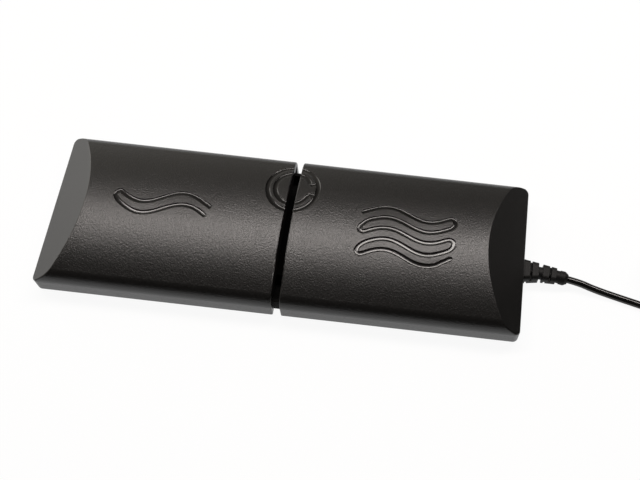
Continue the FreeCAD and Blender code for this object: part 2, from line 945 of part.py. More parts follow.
def switch_body():
    """The right microswitch's case, with its mounting holes, lever ears and plunger slot."""
    x0 = switch_near_x
    x1 = switch_near_x + switch_length
    half = switch_width / 2
    case = block(x0, x1, -half, half, board_top, switch_top)
    cuts = []
    for x in (x0 + switch_hole_inset, x1 - switch_hole_inset):
        z = board_top + switch_hole_height
        cuts.append(rod(switch_hole_radius, (x, -half - past, z), (x, half + past, z)))
    slot_x = plunger_size_x / 2 + plunger_gap
    slot_y = plunger_size_y / 2 + plunger_gap
    slot_bottom = switch_top - plunger_depth - plunger_travel - plunger_gap
    cuts.append(block(
        plunger_x - slot_x, plunger_x + slot_x, -slot_y, slot_y,
        slot_bottom, switch_top + past,
    ))
    ears = []
    for y0, y1 in ((-half, -half + lever_ear_thickness), (half - lever_ear_thickness, half)):
        eye = rod(lever_ear_radius, (lever_pivot_x, y0, lever_pivot_z), (lever_pivot_x, y1, lever_pivot_z))
        foot = block(
            lever_pivot_x - lever_ear_radius, lever_pivot_x + lever_ear_radius,
            y0, y1, switch_top - past, lever_pivot_z,
        )
        ears += [eye, foot]
    bore = rod(
        lever_pin_radius + running_clearance,
        (lever_pivot_x, -half - past, lever_pivot_z), (lever_pivot_x, half + past, lever_pivot_z),
    )
    return case.cut(cuts).multiFuse(ears).cut(bore).removeSplitter()


def switch_lever():
    """The right switch's steel lever: a strip on a cross pin, sloping up to its tip."""
    half = switch_width / 2
    t = lever_thickness / 2
    strip = block(0, lever_length, -lever_width / 2, lever_width / 2, -t, t)
    strip.rotate(Vector(0, 0, 0), BACK, -lever_rest_deg)
    strip.translate(Vector(lever_pivot_x, 0, lever_pivot_z))
    pin = rod(
        lever_pin_radius,
        (lever_pivot_x, -half, lever_pivot_z), (lever_pivot_x, half, lever_pivot_z),
    )
    return strip.fuse(pin).removeSplitter()


def switch_plunger():
    """The right switch's plunger, just under its lever."""
    under = plunger_offset * math.tan(lever_rest) - lever_thickness / 2 / math.cos(lever_rest)
    slack = plunger_size_x / 2 * math.tan(lever_rest) + plunger_gap
    top = lever_pivot_z + under - slack
    return block(
        plunger_x - plunger_size_x / 2, plunger_x + plunger_size_x / 2,
        -plunger_size_y / 2, plunger_size_y / 2,
        switch_top - plunger_depth, top,
    )


def switch_terminals():
    """Solder pins of both switches, through the board."""
    pins = []
    for x in terminal_places():
        pins.append(block(
            x - terminal_width / 2, x + terminal_width / 2,
            -terminal_thickness / 2, terminal_thickness / 2,
            board_bottom - terminal_reach, board_top,
        ))
    return Part.makeCompound(pins)


def controller_chip():
    """The controller chip, with a row of legs on each side."""
    half = chip_size / 2
    body = block(
        -half, half, chip_y - half, chip_y + half,
        board_top + chip_standoff, board_top + chip_height,
    )
    legs = []
    for index in range(chip_leg_count):
        x = (index - (chip_leg_count - 1) / 2) * chip_leg_pitch
        for way in (-1, 1):
            legs.append(block(
                x - chip_leg_width / 2, x + chip_leg_width / 2,
                chip_y + way * (half - chip_leg_root), chip_y + way * (half + chip_leg_reach),
                board_top, board_top + chip_leg_height,
            ))
    return body.multiFuse(legs).removeSplitter()


def board_components():
    """Resistors, a crystal and a capacitor on the board."""
    parts = []
    for first_x, y in small_part_rows:
        for index in range(small_part_count):
            x = first_x + small_part_pitch * index
            parts.append(block(
                x, x + small_part_length, y - small_part_width / 2, y + small_part_width / 2,
                board_top, board_top + small_part_height,
            ))
    half_x = crystal_length / 2
    half_y = crystal_width / 2
    parts.append(plate(
        crystal_x - half_x, crystal_x + half_x, crystal_y - half_y, crystal_y + half_y,
        board_top, board_top + crystal_height, 0.9 * half_y,
    ))
    foot = (capacitor_x, capacitor_y, board_top)
    parts.append(rod(capacitor_radius, foot, (capacitor_x, capacitor_y, board_top + capacitor_height)))
    return Part.makeCompound(parts)


def cable_header():
    """The connector on the board's edge that takes the cord's wires."""
    x0 = board_x - header_depth
    y0 = header_y - header_width / 2
    y1 = header_y + header_width / 2
    top = board_top + header_height
    body = block(x0, board_x, y0, y1, board_top, top)
    mouth = block(
        x0 + header_wall, board_x + past, y0 + header_wall, y1 - header_wall,
        board_top + header_wall, top - header_wall,
    )
    return body.cut(mouth)


def wire_height():
    """Height of the wires where they enter the header."""
    return board_top + header_height / 2


def cable_wires():
    """Four insulated wires from the cord's jacket to the header."""
    wires = []
    sides = (-wire_in_jacket, wire_in_jacket)
    starts = [(dy, dz) for dy in sides for dz in sides]
    for index, (dy, dz) in enumerate(starts):
        y = header_y + (index - (len(starts) - 1) / 2) * wire_pitch
        z = cord_height + dz
        points = [
            (jacket_start_x, cord_y + dy, z),
            (jacket_start_x - wire_straight, cord_y + dy, z),
            (jacket_start_x - wire_bend, y, wire_height()),
            (board_x - header_depth / 2, y, wire_height()),
        ]
        wires.append(routed_tube(f"wire {index + 1}", points, wire_radius, wire_sides))
    return Part.makeCompound(wires)


def cable_inside():
    """The jacketed cord inside the tray, from the wires to the strain relief."""
    end = tray_end - tray_wall - relief_flange_thickness - relief_fit
    return rod(cord_radius, (jacket_start_x, cord_y, cord_height), (end, cord_y, cord_height))


def clamp_screw_places():
    """Centres of the two screws of the cord clamp."""
    x = clamp_x + clamp_length / 2
    return [(x, cord_y - clamp_screw_offset), (x, cord_y + clamp_screw_offset)]


def cable_clamp():
    """A saddle that clamps the cord to the tray's floor."""
    half = clamp_width / 2
    x1 = clamp_x + clamp_length
    top = tray_top + clamp_height
    body = block(clamp_x, x1, cord_y - half, cord_y + half, tray_top, top)
    upper = [e for e in body.Edges if e.BoundBox.ZMin > tray_top and e.BoundBox.XLength > clamp_length / 2]
    body = body.makeFillet(clamp_edge_radius, upper)
    radius = cord_radius + clamp_grip
    bore = rod(radius, (clamp_x - past, cord_y, cord_height), (x1 + past, cord_y, cord_height))
    way = block(clamp_x - past, x1 + past, cord_y - radius, cord_y + radius, tray_top - past, cord_height)
    cuts = [bore, way]
    for x, y in clamp_screw_places():
        above = (x, y, top + past)
        cuts.append(rod(screw_radius + screw_clearance, (x, y, tray_top - past), above))
        cuts.append(rod(screw_head_radius + screw_clearance, (x, y, top - clamp_head_recess), above))
    return body.cut(cuts)


def clamp_screws():
    """The two screws of the cord clamp."""
    seat = tray_top + clamp_height - clamp_head_recess
    return Part.makeCompound([screw(x, y, seat) for x, y in clamp_screw_places()])


# Strain relief
def turned(shape, at, heading, drop):
    """A shape drawn along +X from the origin, turned and moved to a point."""
    copy = shape.copy()
    copy.rotate(Vector(0, 0, 0), BACK, drop)
    copy.rotate(Vector(0, 0, 0), UP, heading)
    copy.translate(at)
    return copy


def direction(heading, drop):
    """The unit vector of a heading in plan and a slope downwards, in degrees."""
    level = math.cos(math.radians(drop))
    way = Vector(level * math.cos(math.radians(heading)), level * math.sin(math.radians(heading)), 0)
    way.z = -math.sin(math.radians(drop))
    return way


def relief_stations():
    """Where each length of the strain relief starts: point, heading and slope, then its tip."""
    lengths = (
        outer_end - tray_end + relief_root_length,
        relief_groove_length,
        relief_mid_length,
        relief_groove_length,
        relief_barrel_length + relief_cone_length,
    )
    bends = (0, 1, 1, 2, 2)
    at = Vector(tray_end, cord_y, cord_height)
    stations = []
    for length, bend in zip(lengths, bends):
        heading = bend * relief_bend_deg
        drop = bend * relief_drop_deg
        stations.append((at, heading, drop, length))
        at = at + direction(heading, drop) * length
    stations.append((at, heading, drop, 0))
    return stations


def relief_block(size, end_size, length, slot_at):
    """One flexible block of the strain relief, slotted from above and, before that, from below."""
    body = tapered_block(length, size, end_size, relief_corner)
    reach = size[0]
    core = Part.makeCylinder(relief_slot_core, length, Vector(0, 0, 0), RIGHT)
    for way in (-1, 1):
        x = slot_at + (way - 1) * relief_slot
        slot = block(x, x + relief_slot, -reach, reach, way * relief_slot_bridge, way * reach)
        body = body.cut(slot.cut(core))
    return body


def strain_relief():
    """The moulded strain relief: flange and neck in the tray's end wall, then blocks that shrink."""
    root, groove_one, middle, groove_two, barrel, tip = relief_stations()
    inner_x = tray_end - tray_wall
    flange = block(
        inner_x - relief_flange_thickness - relief_fit, inner_x - relief_fit,
        cord_y - relief_flange_width / 2, cord_y + relief_flange_width / 2,
        tray_top + relief_fit, relief_flange_top,
    )
    neck = block(
        inner_x - relief_flange_thickness, tray_end + past,
        cord_y - relief_neck_width / 2, cord_y + relief_neck_width / 2,
        tray_top + relief_fit, cord_height + relief_root_end_height / 2,
    )
    root_size = (relief_width, relief_height)
    root_block = relief_block(
        root_size, (relief_root_end_width, relief_root_end_height),
        root[3] - relief_fit, root[3] - relief_root_slot_inset,
    )
    mid_block = relief_block(
        (relief_mid_width, relief_mid_height), (relief_mid_end_width, relief_mid_end_height),
        middle[3], middle[3] - relief_mid_slot_inset,
    )
    core = Part.makeCylinder(
        relief_core_radius, relief_groove_length + 2 * relief_overlap,
        Vector(-relief_overlap, 0, 0), RIGHT,
    )
    ring = Part.makeCylinder(relief_barrel_radius, relief_barrel_length, Vector(0, 0, 0), RIGHT)
    cone = Part.makeCone(
        relief_barrel_radius, relief_tip_radius, relief_cone_length,
        Vector(relief_barrel_length, 0, 0), RIGHT,
    )
    pieces = [flange, neck]
    pieces.append(turned(root_block, root[0] + RIGHT * relief_fit, root[1], root[2]))
    pieces.append(turned(core, *groove_one[:3]))
    pieces.append(turned(mid_block, *middle[:3]))
    pieces.append(turned(core, *groove_two[:3]))
    pieces.append(turned(ring.fuse(cone), *barrel[:3]))
    return fused(pieces)


# Free cord
def coil_point(turn):
    """A point of the coil's centre line: in and out again, one layer higher each time."""
    layer_turns = coil_turns / coil_layers
    reach = coil_pitch * layer_turns / 2
    phase = turn % (2 * layer_turns)
    fold = phase if phase <= layer_turns else 2 * layer_turns - phase
    radius = coil_middle_radius + reach - coil_pitch * fold
    layer = 0.0
    for number in range(1, coil_layers):
        share = (turn - number * layer_turns) / coil_climb_turns + 0.5
        share = min(max(share, 0.0), 1.0)
        layer += share * share * (3 - 2 * share)
    angle = math.radians(coil_start_deg) + 2 * math.pi * turn
    return Vector(
        coil_centre_x + radius * math.cos(angle),
        coil_centre_y + radius * math.sin(angle),
        coil_floor_gap + coil_section_radius() + coil_pitch * layer,
    )


def coil_section_radius():
    """How far the corners of the coil's section lie out."""
    return corner_radius(cord_radius, coil_sides)


def coil_stations():
    """Turns at which the coil's arcs meet: even steps, with the climbs on their own."""
    layer_turns = coil_turns / coil_layers
    stations = []
    for number in range(coil_layers):
        start = number * layer_turns + (coil_climb_turns / 2 if number else 0)
        end = (number + 1) * layer_turns - (coil_climb_turns / 2 if number < coil_layers - 1 else 0)
        steps = round((end - start) * coil_station_count)
        stations += [start + (end - start) * index / steps for index in range(steps + 1)]
        if number < coil_layers - 1:
            stations.append((number + 1) * layer_turns)
    return stations


def cord_coil():
    """The coil that the spare length is wound into."""
    least_self_gap("coil", coil_point, coil_turns, coil_section_radius())
    route, ways = wound_route(coil_point, coil_stations())
    print(f"coil: length {route.Length:.1f}")
    return tube(route, coil_point(0), ways[0], coil_section_radius(), coil_sides)


def coil_way(turn):
    """The direction of the cord at a point of the coil."""
    step = 1e-4
    way = coil_point(turn + step) - coil_point(turn - step)
    way.normalize()
    return way


def cord_lead_points():
    """Route of the cord from the strain relief's tip to the coil."""
    tip, heading, drop, _ = relief_stations()[-1]
    end = coil_point(0)
    return [
        tuple(tip),
        tuple(tip + direction(heading, drop) * cord_end_run),
        (182.5, -8.3, 3.6),
        (195.0, -10.9, 2.3),
        (208.5, -14.1, 2.3),
        (220.5, -17.1, 2.5),
        tuple(end - coil_way(0) * cord_end_run),
        tuple(end),
    ]


def cord_tail_points():
    """Route of the cord from the top of the coil down to the plug."""
    start = coil_point(coil_turns)
    end = Vector(*plug_tail())
    return [
        tuple(start),
        tuple(start + coil_way(coil_turns) * cord_end_run),
        (277.5, -12.6, 15.0),
        (288.5, -9.4, 6.8),
        tuple(end - direction(plug_heading_deg, 0) * cord_end_run),
        tuple(end),
    ]


def plug_tail():
    """Where the cord enters the plug."""
    return (plug_x, plug_y, plug_grip_height / 2)


def cable_tie():
    """A band round the coil's section, at one place on its way round."""
    layer_turns = coil_turns / coil_layers
    reach = coil_pitch * layer_turns / 2
    side = coil_section_radius() + tie_gap
    bow = tie_width ** 2 / 8 / (coil_middle_radius - reach)
    r0 = coil_middle_radius - reach - side - bow
    r1 = coil_middle_radius + reach + side
    z0 = tie_thickness
    z1 = coil_floor_gap + 2 * coil_section_radius() + (coil_layers - 1) * coil_pitch + tie_gap
    half = tie_width / 2
    t = tie_thickness
    outside = block(r0 - t, r1 + t, -half, half, z0 - t, z1 + t)
    along = [e for e in outside.Edges if e.BoundBox.YLength > tie_width / 2]
    band = outside.makeFillet(tie_corner_radius, along).cut(block(r0, r1, -half - past, half + past, z0, z1))
    band.rotate(Vector(0, 0, 0), UP, tie_azimuth_deg)
    band.translate(Vector(coil_centre_x, coil_centre_y, 0))
    return band


# Plug, drawn along +X from the point where the cord enters it
def placed_plug(shape):
    """A piece of the plug at its place on the floor."""
    return turned(shape, Vector(*plug_tail()), plug_heading_deg, 0)


def plug_shell_start():
    """Where the metal shell leaves the grip."""
    return plug_boot_length + plug_grip_length


def plug_grip():
    """The moulded grip, with a ribbed boot round the cord."""
    boot = Part.makeCone(
        plug_boot_radius, plug_boot_end_radius, plug_boot_length + past, Vector(0, 0, 0), RIGHT,
    )
    widening = (plug_boot_end_radius - plug_boot_radius) / plug_boot_length
    for index in range(plug_boot_grooves):
        x = plug_boot_first_groove + plug_boot_groove_pitch * index
        groove = Part.makeCylinder(plug_boot_end_radius + past, plug_boot_groove, Vector(x, 0, 0), RIGHT)
        neck = Part.makeCylinder(
            plug_boot_radius + widening * x - plug_boot_groove_depth,
            plug_boot_groove, Vector(x, 0, 0), RIGHT,
        )
        boot = boot.cut(groove.cut(neck))
    body = tapered_block(
        plug_grip_length,
        (plug_grip_width - plug_grip_taper, plug_grip_height), (plug_grip_width, plug_grip_height),
        plug_grip_corner,
    )
    body.translate(Vector(plug_boot_length, 0, 0))
    start = plug_shell_start()
    seat = block(
        start - plug_shell_seat, start + past,
        -plug_shell_width / 2, plug_shell_width / 2,
        -plug_shell_height / 2, plug_shell_height / 2,
    )
    return placed_plug(body.fuse(boot).cut(seat).removeSplitter())


def plug_shell():
    """The folded metal shell with its four spring windows."""
    x0 = plug_shell_start() - plug_shell_seat
    x1 = plug_shell_start() + plug_shell_length
    w = plug_shell_width / 2
    h = plug_shell_height / 2
    t = plug_shell_wall
    shell = block(x0, x1, -w, w, -h, h).cut(block(x0 - past, x1 + past, -w + t, w - t, -h + t, h - t))
    size = plug_window_size / 2
    x = x1 - plug_window_from_tip
    for y in (-plug_window_y, plug_window_y):
        shell = shell.cut(block(x - size, x + size, y - size, y + size, -h - past, h + past))
    return placed_plug(shell)


def plug_tongue():
    """The insulator inside the shell, a full block at its root and a thin tongue towards the tip."""
    x0 = plug_shell_start() - plug_shell_seat
    x1 = plug_shell_start() + plug_shell_length - plug_tongue_setback
    w = plug_shell_width / 2 - plug_shell_wall
    h = plug_shell_height / 2 - plug_shell_wall
    tongue = block(x0, x1, -w, w, -h, -h + plug_tongue_height)
    root = block(x0, plug_shell_start() + plug_tongue_root, -w, w, -h, h)
    return placed_plug(tongue.fuse(root).removeSplitter())


def plug_contacts():
    """Four contact strips on the tongue."""
    x1 = plug_shell_start() + plug_shell_length - plug_tongue_setback - plug_contact_setback
    h = plug_shell_height / 2 - plug_shell_wall
    z = -h + plug_tongue_height
    strips = []
    for index in range(plug_contact_count):
        y = (index - (plug_contact_count - 1) / 2) * plug_contact_pitch
        strips.append(block(
            x1 - plug_contact_length, x1,
            y - plug_contact_width / 2, y + plug_contact_width / 2,
            z, z + plug_contact_thickness,
        ))
    return placed_plug(Part.makeCompound(strips))


def main():
    """Builds every piece and writes one STEP file for each."""
    os.makedirs("parts", exist_ok=True)
    right = pedal()
    one_spring = spring()
    least_self_gap("spring", spring_point, spring_turns, spring_wire / 2)
    body = switch_body()
    lever = switch_lever()
    plunger = switch_plunger()
    pieces = {
        "base_tray": base_tray(),
        "rubber_feet": rubber_feet(),
        "bump_stops": bump_stops(),
        "left_pedal": mirrored(right),
        "right_pedal": right.cut(cord_notch()),
        "left_hinge_pins": hinge_pins(-1),
        "right_hinge_pins": hinge_pins(1),
        "left_return_springs": return_springs(-1, one_spring),
        "right_return_springs": return_springs(1, one_spring),
        "left_switch_body": mirrored(body),
        "right_switch_body": body,
        "left_switch_lever": mirrored(lever),
        "right_switch_lever": lever,
        "left_switch_plunger": mirrored(plunger),
        "right_switch_plunger": plunger,
        "switch_terminals": switch_terminals(),
        "circuit_board": circuit_board(),
        "controller_chip": controller_chip(),
        "board_components": board_components(),
        "board_cover": board_cover(),
        "board_screws": board_screws(),
        "cable_header": cable_header(),
        "cable_wires": cable_wires(),
        "cable_inside": cable_inside(),
        "cable_clamp": cable_clamp(),
        "clamp_screws": clamp_screws(),
        "strain_relief": strain_relief(),
        "cord_lead": routed_tube("lead", cord_lead_points(), cord_radius, cord_sides),
        "cord_coil": cord_coil(),
        "cord_tail": routed_tube("tail", cord_tail_points(), cord_radius, cord_sides),
        "cable_tie": cable_tie(),
        "plug_grip": plug_grip(),
        "plug_shell": plug_shell(),
        "plug_tongue": plug_tongue(),
        "plug_contacts": plug_contacts(),
    }
    for name, shape in pieces.items():
        print(f"{name}: {len(shape.Solids)} solids, valid {shape.isValid()}, volume {shape.Volume:.1f}")
        shape.exportStep(f"parts/{name}.step")


main()
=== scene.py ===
"""A foot pedal switch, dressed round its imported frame: two arched pedals, their signs, and the cord."""
import math

import bmesh
import bpy
from mathutils import Matrix, Vector
from mathutils.bvhtree import BVHTree
from mathutils.interpolate import poly_3d_calc


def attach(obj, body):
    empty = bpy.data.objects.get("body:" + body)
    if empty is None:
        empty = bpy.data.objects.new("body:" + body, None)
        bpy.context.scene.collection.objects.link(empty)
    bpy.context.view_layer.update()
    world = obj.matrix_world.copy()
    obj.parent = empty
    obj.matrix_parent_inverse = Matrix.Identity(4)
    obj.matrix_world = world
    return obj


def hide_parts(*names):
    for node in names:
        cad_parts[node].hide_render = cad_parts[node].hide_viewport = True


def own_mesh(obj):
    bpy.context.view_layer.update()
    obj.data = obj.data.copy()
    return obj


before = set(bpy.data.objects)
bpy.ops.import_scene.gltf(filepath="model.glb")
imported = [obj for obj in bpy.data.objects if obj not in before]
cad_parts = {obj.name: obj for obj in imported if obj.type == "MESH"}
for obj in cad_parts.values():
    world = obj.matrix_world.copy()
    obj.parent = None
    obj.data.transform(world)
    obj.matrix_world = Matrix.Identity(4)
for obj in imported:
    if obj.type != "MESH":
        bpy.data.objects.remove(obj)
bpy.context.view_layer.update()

# Scale: lengths below are in millimetres, as in the part's source
mm = 0.001

# Arch of the pedals
arch_radius = 114.15
arch_centre_z = -83.65

# Sloping ends of the pedals: how far out they begin, and how much their faces turn outwards
end_slope_x = 110.0
end_facing = 0.4

# Signs: grooves in the pedals' arch, given as half a section of distance from the middle and depth
groove_half_section = (
    (1.62, -0.6), (1.54, -0.02), (1.42, 0.14), (1.24, 0.3),
    (1.04, 0.41), (0.8, 0.47), (0.4, 0.5), (0.0, 0.51),
)
groove_end_reach = 1.5
groove_end_least = 0.02
groove_step = 0.6

# How the pedals' corners are joined before the cut, and how their faces are told apart after it
weld_reach = 0.001
on_groove = 0.03
near_arch = 0.15
arch_facing = 0.99
sharp_deg = 30.0

# Share of the way from a face's corner to its middle, where its smooth normal is looked up
corner_inset = 0.04

# Wave signs: each shape is a middle, a rise, a crest's place, a wave's length and a tilt
wave_point_count = 11
left_upper_wave = (6.19, 4.6, -60.6, 49.0, -0.04)
left_upper_reach = (-95.5, -44.0)
left_lower_wave = (-2.56, 5.57, -58.1, 55.5, -0.13)
left_lower_reach = (-96.5, -46.3)
left_wave_turn = ((-98.4, 8.1), (-100.3, 5.6), (-98.9, 2.7))

# The right sign's waves: each a middle, a rise, a start and an end; turns are given from a wave's middle
right_crest_x = 57.6
right_wave_length = 47.5
right_waves = (
    (13.38, 3.73, 41.9, 93.3), (6.46, 3.52, 46.8, 94.2), (-0.52, 3.42, 45.6, 93.3),
    (-7.64, 3.58, 46.8, 94.2), (-14.28, 3.55, 45.6, 88.0),
)
turn_at_right = ((95.2, 0.05), (96.7, -1.3), (97.0, -3.1), (96.1, -4.9))
turn_at_left = ((44.3, 5.3), (42.7, 3.5), (42.0, 1.7), (42.5, 0.2), (44.0, -0.4))
right_wave_tail = ((90.2, -15.1), (92.9, -13.6), (95.6, -12.0), (96.8, -11.3))

# Ring sign: two outlines round one centre that end in the gap, the inner one open between two ticks
ring_centre = (-0.2, 23.3)
ring_outer = (14.7, 15.7)
ring_inner = (10.3, 11.1)
ring_end_x = 0.6
ring_step_deg = 9.0
ring_open_high_deg = 22.0
ring_open_low_deg = -17.0
ring_high_tick = ((9.2, 27.0), (11.0, 27.4), (13.2, 28.2))
ring_low_tick = ((9.0, 20.6), (10.8, 19.9), (13.2, 18.8))

# Free cord
cord_diameter = 4.4
cord_lead = (
    (166.88, -5.24, 6.03), (174.78, -6.35, 5.47), (182.5, -8.3, 3.6), (195.0, -10.9, 2.3),
    (208.5, -14.1, 2.3), (220.5, -17.1, 2.5), (231.17, -19.91, 3.32),
)
cord_tail = (
    (265.63, -17.5, 18.62), (277.5, -12.6, 15.0), (288.5, -9.4, 6.8),
    (299.04, -7.24, 3.8), (307.0, -6.4, 3.8),
)
cord_spline_order = 3
cord_steps = 4
cord_round_steps = 5
coil_centre = (246.5, 8.5)
coil_turns = 11.1
coil_layers = 4
coil_pitch = 5.1
coil_middle_radius = 24.2
coil_climb_turns = 0.5
coil_start_deg = -104.0
coil_first_z = 3.32
coil_points_per_turn = 16

# Return springs
spring_x = 45.0
spring_y = 25.0
spring_low = 5.0
spring_high = 19.5
spring_mean_radius = 4.1
spring_wire = 0.9
spring_turns = 5.0
spring_end_pitch = 1.4
spring_steps = 20
spring_wire_sides = 10

# Camera, fitted to the photograph: where it stands and which way it looks
camera_place = (80.81, -243.99, 509.37)
camera_right = (0.99366, 0.10464, 0.04100)
camera_up = (-0.11212, 0.89814, 0.42517)
camera_lens = 52.64
camera_shift = (-0.15, 0.0375)
camera_near = 10.0

# Materials: pits and paler tops of the grain, rubbed edges, tracks of the board, loops of the fabric
pit_scale = 0.8
pit_share = 0.6
plastic_rub = 4.0
plastic_tone = 0.35
metal_rub = 3.0
edge_samples = 4
track_share = 0.7
loop_depth = 0.25
white = (1.0, 1.0, 1.0, 1.0)

# Wires: their colours are shared out between these two
wire_first_y = 6.5
wire_last_y = 13.7

# Floor: how much of its own white it shows to the camera and in reflections, which fade to the right
floor_size = 6000.0
floor_colour = (0.86, 0.86, 0.86, 1.0)
floor_camera_share = 0.93
floor_glossy_share = 1.0
floor_glossy_least = 0.15
floor_fade_x = (150.0, 210.0)

# Surroundings: strength for the camera, and otherwise from one strength to another along a direction
surround_shown = 0.94
surround_grey = 0.02
surround_back = 1.0
surround_way = (-0.776, 0.517, -0.362)
surround_from = 0.15
surround_to = 0.82
surround_colour = (1.0, 0.94, 0.84, 1.0)


def at(x, y, z):
    """A point given in millimetres, in metres."""
    return Vector((x, y, z)) * mm


def arch_z(y):
    """Height of the pedals' arch at a distance from its middle line."""
    return arch_centre_z + math.sqrt(arch_radius ** 2 - y ** 2)


def arch_normal(y):
    """The way out of the arch at a distance from its middle line."""
    return Vector((0, y, math.sqrt(arch_radius ** 2 - y ** 2))).normalized()


# Mesh helpers
def loose_mesh(name, build):
    """A mesh made by one building function."""
    mesh = bpy.data.meshes.new(name)
    shape = bmesh.new()
    build(shape)
    bmesh.ops.recalc_face_normals(shape, faces=shape.faces)
    shape.to_mesh(mesh)
    shape.free()
    return mesh


def mesh_piece(name, body, build):
    """A new smooth mesh piece made by one building function, riding on a body."""
    mesh = loose_mesh(name, build)
    for face in mesh.polygons:
        face.use_smooth = True
    piece = bpy.data.objects.new(name, mesh)
    bpy.context.scene.collection.objects.link(piece)
    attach(piece, body)
    return piece


def skin(shape, rings):
    """Faces between rings of points, each ring closed on itself, and over both ends."""
    rows = [[shape.verts.new(point) for point in ring] for ring in rings]
    count = len(rows[0])
    for first, second in zip(rows, rows[1:]):
        for index in range(count):
            after = (index + 1) % count
            shape.faces.new((first[index], first[after], second[after], second[index]))
    shape.faces.new(rows[0])
    shape.faces.new(reversed(rows[-1]))


def smooth_line(points, step):
    """Points a step apart on a smooth line through the given ones."""
    ends = [points[0]] + list(points) + [points[-1]]
    line = []
    for before, start, end, after in zip(ends, ends[1:], ends[2:], ends[3:]):
        leave = (end - before) / 2
        arrive = (after - start) / 2
        count = max(2, math.ceil((end - start).length / step))
        for index in range(count):
            t = index / count
            line.append(
                start * (2 * t ** 3 - 3 * t ** 2 + 1) + leave * (t ** 3 - 2 * t ** 2 + t)
                + end * (3 * t ** 2 - 2 * t ** 3) + arrive * (t ** 3 - t ** 2)
            )
    line.append(points[-1])
    return line


def ways_along(line):
    """The direction of a line at each of its points."""
    last = len(line) - 1
    return [(line[min(i + 1, last)] - line[max(i - 1, 0)]).normalized() for i in range(len(line))]


def tube_rings(line, radius, sides):
    """Rings round a line that don't twist along it."""
    ways = ways_along(line)
    across = ways[0].orthogonal().normalized()
    rings = []
    for point, way in zip(line, ways):
        across = (across - way * across.dot(way)).normalized()
        aside = way.cross(across)
        turns = [2 * math.pi * index / sides for index in range(sides)]
        rings.append([point + (across * math.cos(t) + aside * math.sin(t)) * radius for t in turns])
    return rings


# Signs on the pedals
def groove_rings(plan):
    """The sections of one groove's cutting tool: narrower at its ends, and reaching above the arch."""
    line = smooth_line([Vector((x, y, 0)) for x, y in plan], groove_step)
    line = [Vector((point.x, point.y, arch_z(point.y))) for point in line]
    run = [0.0]
    for first, second in zip(line, line[1:]):
        run.append(run[-1] + (second - first).length)
    section = [(-across, depth) for across, depth in groove_half_section]
    section += [(across, depth) for across, depth in reversed(groove_half_section[:-1])]
    rings = []
    for point, way, gone in zip(line, ways_along(line), run):
        out = arch_normal(point.y)
        side = way.cross(out).normalized()
        room = min(gone, run[-1] - gone) / groove_end_reach
        share = math.sqrt(max(1 - (1 - min(room, 1)) ** 2, groove_end_least))
        rings.append([
            (point + side * across * share - out * (depth if depth < 0 else depth * share)) * mm
            for across, depth in section
        ])
    return rings


def wave(shape, reach):
    """Points of one wave line from one end to the other."""
    middle, rise, crest_x, length, tilt = shape
    start, end = reach
    points = []
    for index in range(wave_point_count):
        x = start + (end - start) * index / (wave_point_count - 1)
        away = x - crest_x
        points.append((x, middle + rise * math.cos(2 * math.pi * away / length) + tilt * away))
    return points


def left_wave_line():
    """The left sign: a wave band, closed at its left end and open at its right."""
    upper = wave(left_upper_wave, left_upper_reach)
    lower = wave(left_lower_wave, left_lower_reach)
    return list(reversed(upper)) + list(left_wave_turn) + lower


def right_wave_line():
    """The right sign: five waves joined into one line that runs to and fro."""
    points = []
    middle_before = None
    for index, (middle, rise, start, end) in enumerate(right_waves):
        run = wave((middle, rise, right_crest_x, right_wave_length, 0.0), (start, end))
        if index % 2:
            run.reverse()
            points += [(x, middle_before + y) for x, y in turn_at_right]
        elif index:
            points += [(x, middle + y) for x, y in turn_at_left]
        points += run
        middle_before = middle
    return points + list(right_wave_tail)


def ring_arc(radii, start_deg, end_deg):
    """Part of one outline of the ring sign."""
    count = math.ceil(abs(end_deg - start_deg) / ring_step_deg)
    points = []
    for index in range(count + 1):
        angle = math.radians(start_deg + (end_deg - start_deg) * index / count)
        x = ring_centre[0] + radii[0] * math.cos(angle)
        y = ring_centre[1] + radii[1] * math.sin(angle)
        points.append((x, y))
    return points


def ring_gap_deg(radii, x):
    """How far round from its top an outline meets a line in the gap, in degrees."""
    return math.degrees(math.asin((x - ring_centre[0]) / radii[0]))


def left_lines():
    """Grooves of the left pedal."""
    lines = [left_wave_line()]
    for radii in (ring_outer, ring_inner):
        away = ring_gap_deg(radii, -ring_end_x)
        lines.append(ring_arc(radii, 90 - away, 270 + away))
    return lines


def right_lines():
    """Grooves of the right pedal."""
    lines = [right_wave_line(), ring_high_tick, ring_low_tick]
    away = ring_gap_deg(ring_outer, ring_end_x)
    lines.append(ring_arc(ring_outer, 90 - away, away - 90))
    away = ring_gap_deg(ring_inner, ring_end_x)
    lines.append(ring_arc(ring_inner, 90 - away, ring_open_high_deg))
    lines.append(ring_arc(ring_inner, ring_open_low_deg, away - 90))
    return lines


def grooves_tool(lines):
    """The shape that cuts all grooves of one pedal."""
    def build(shape):
        for plan in lines:
            skin(shape, groove_rings(plan))

    return loose_mesh("grooves tool", build)


def surface_tree(mesh):
    """A mesh's faces, to find the nearest one."""
    return BVHTree.FromPolygons([v.co for v in mesh.vertices], [tuple(p.vertices) for p in mesh.polygons])


def cut_mesh(mesh, tool):
    """A mesh with the tool's shape taken out."""
    scene = bpy.context.scene
    shown = bpy.data.objects.new("uncut", mesh)
    cutter = bpy.data.objects.new("cutter", tool)
    for made in (shown, cutter):
        scene.collection.objects.link(made)
    cut = shown.modifiers.new("grooves", "BOOLEAN")
    cut.operation = "DIFFERENCE"
    cut.solver = "EXACT"
    cut.use_self = True
    cut.object = cutter
    result = bpy.data.meshes.new_from_object(shown.evaluated_get(bpy.context.evaluated_depsgraph_get()))
    for made in (shown, cutter):
        bpy.data.objects.remove(made)
    return result


def from_arch_axis(place):
    """The way from the arch's axis to a place, as long as their distance."""
    return Vector((0, place.y, place.z - arch_centre_z * mm))


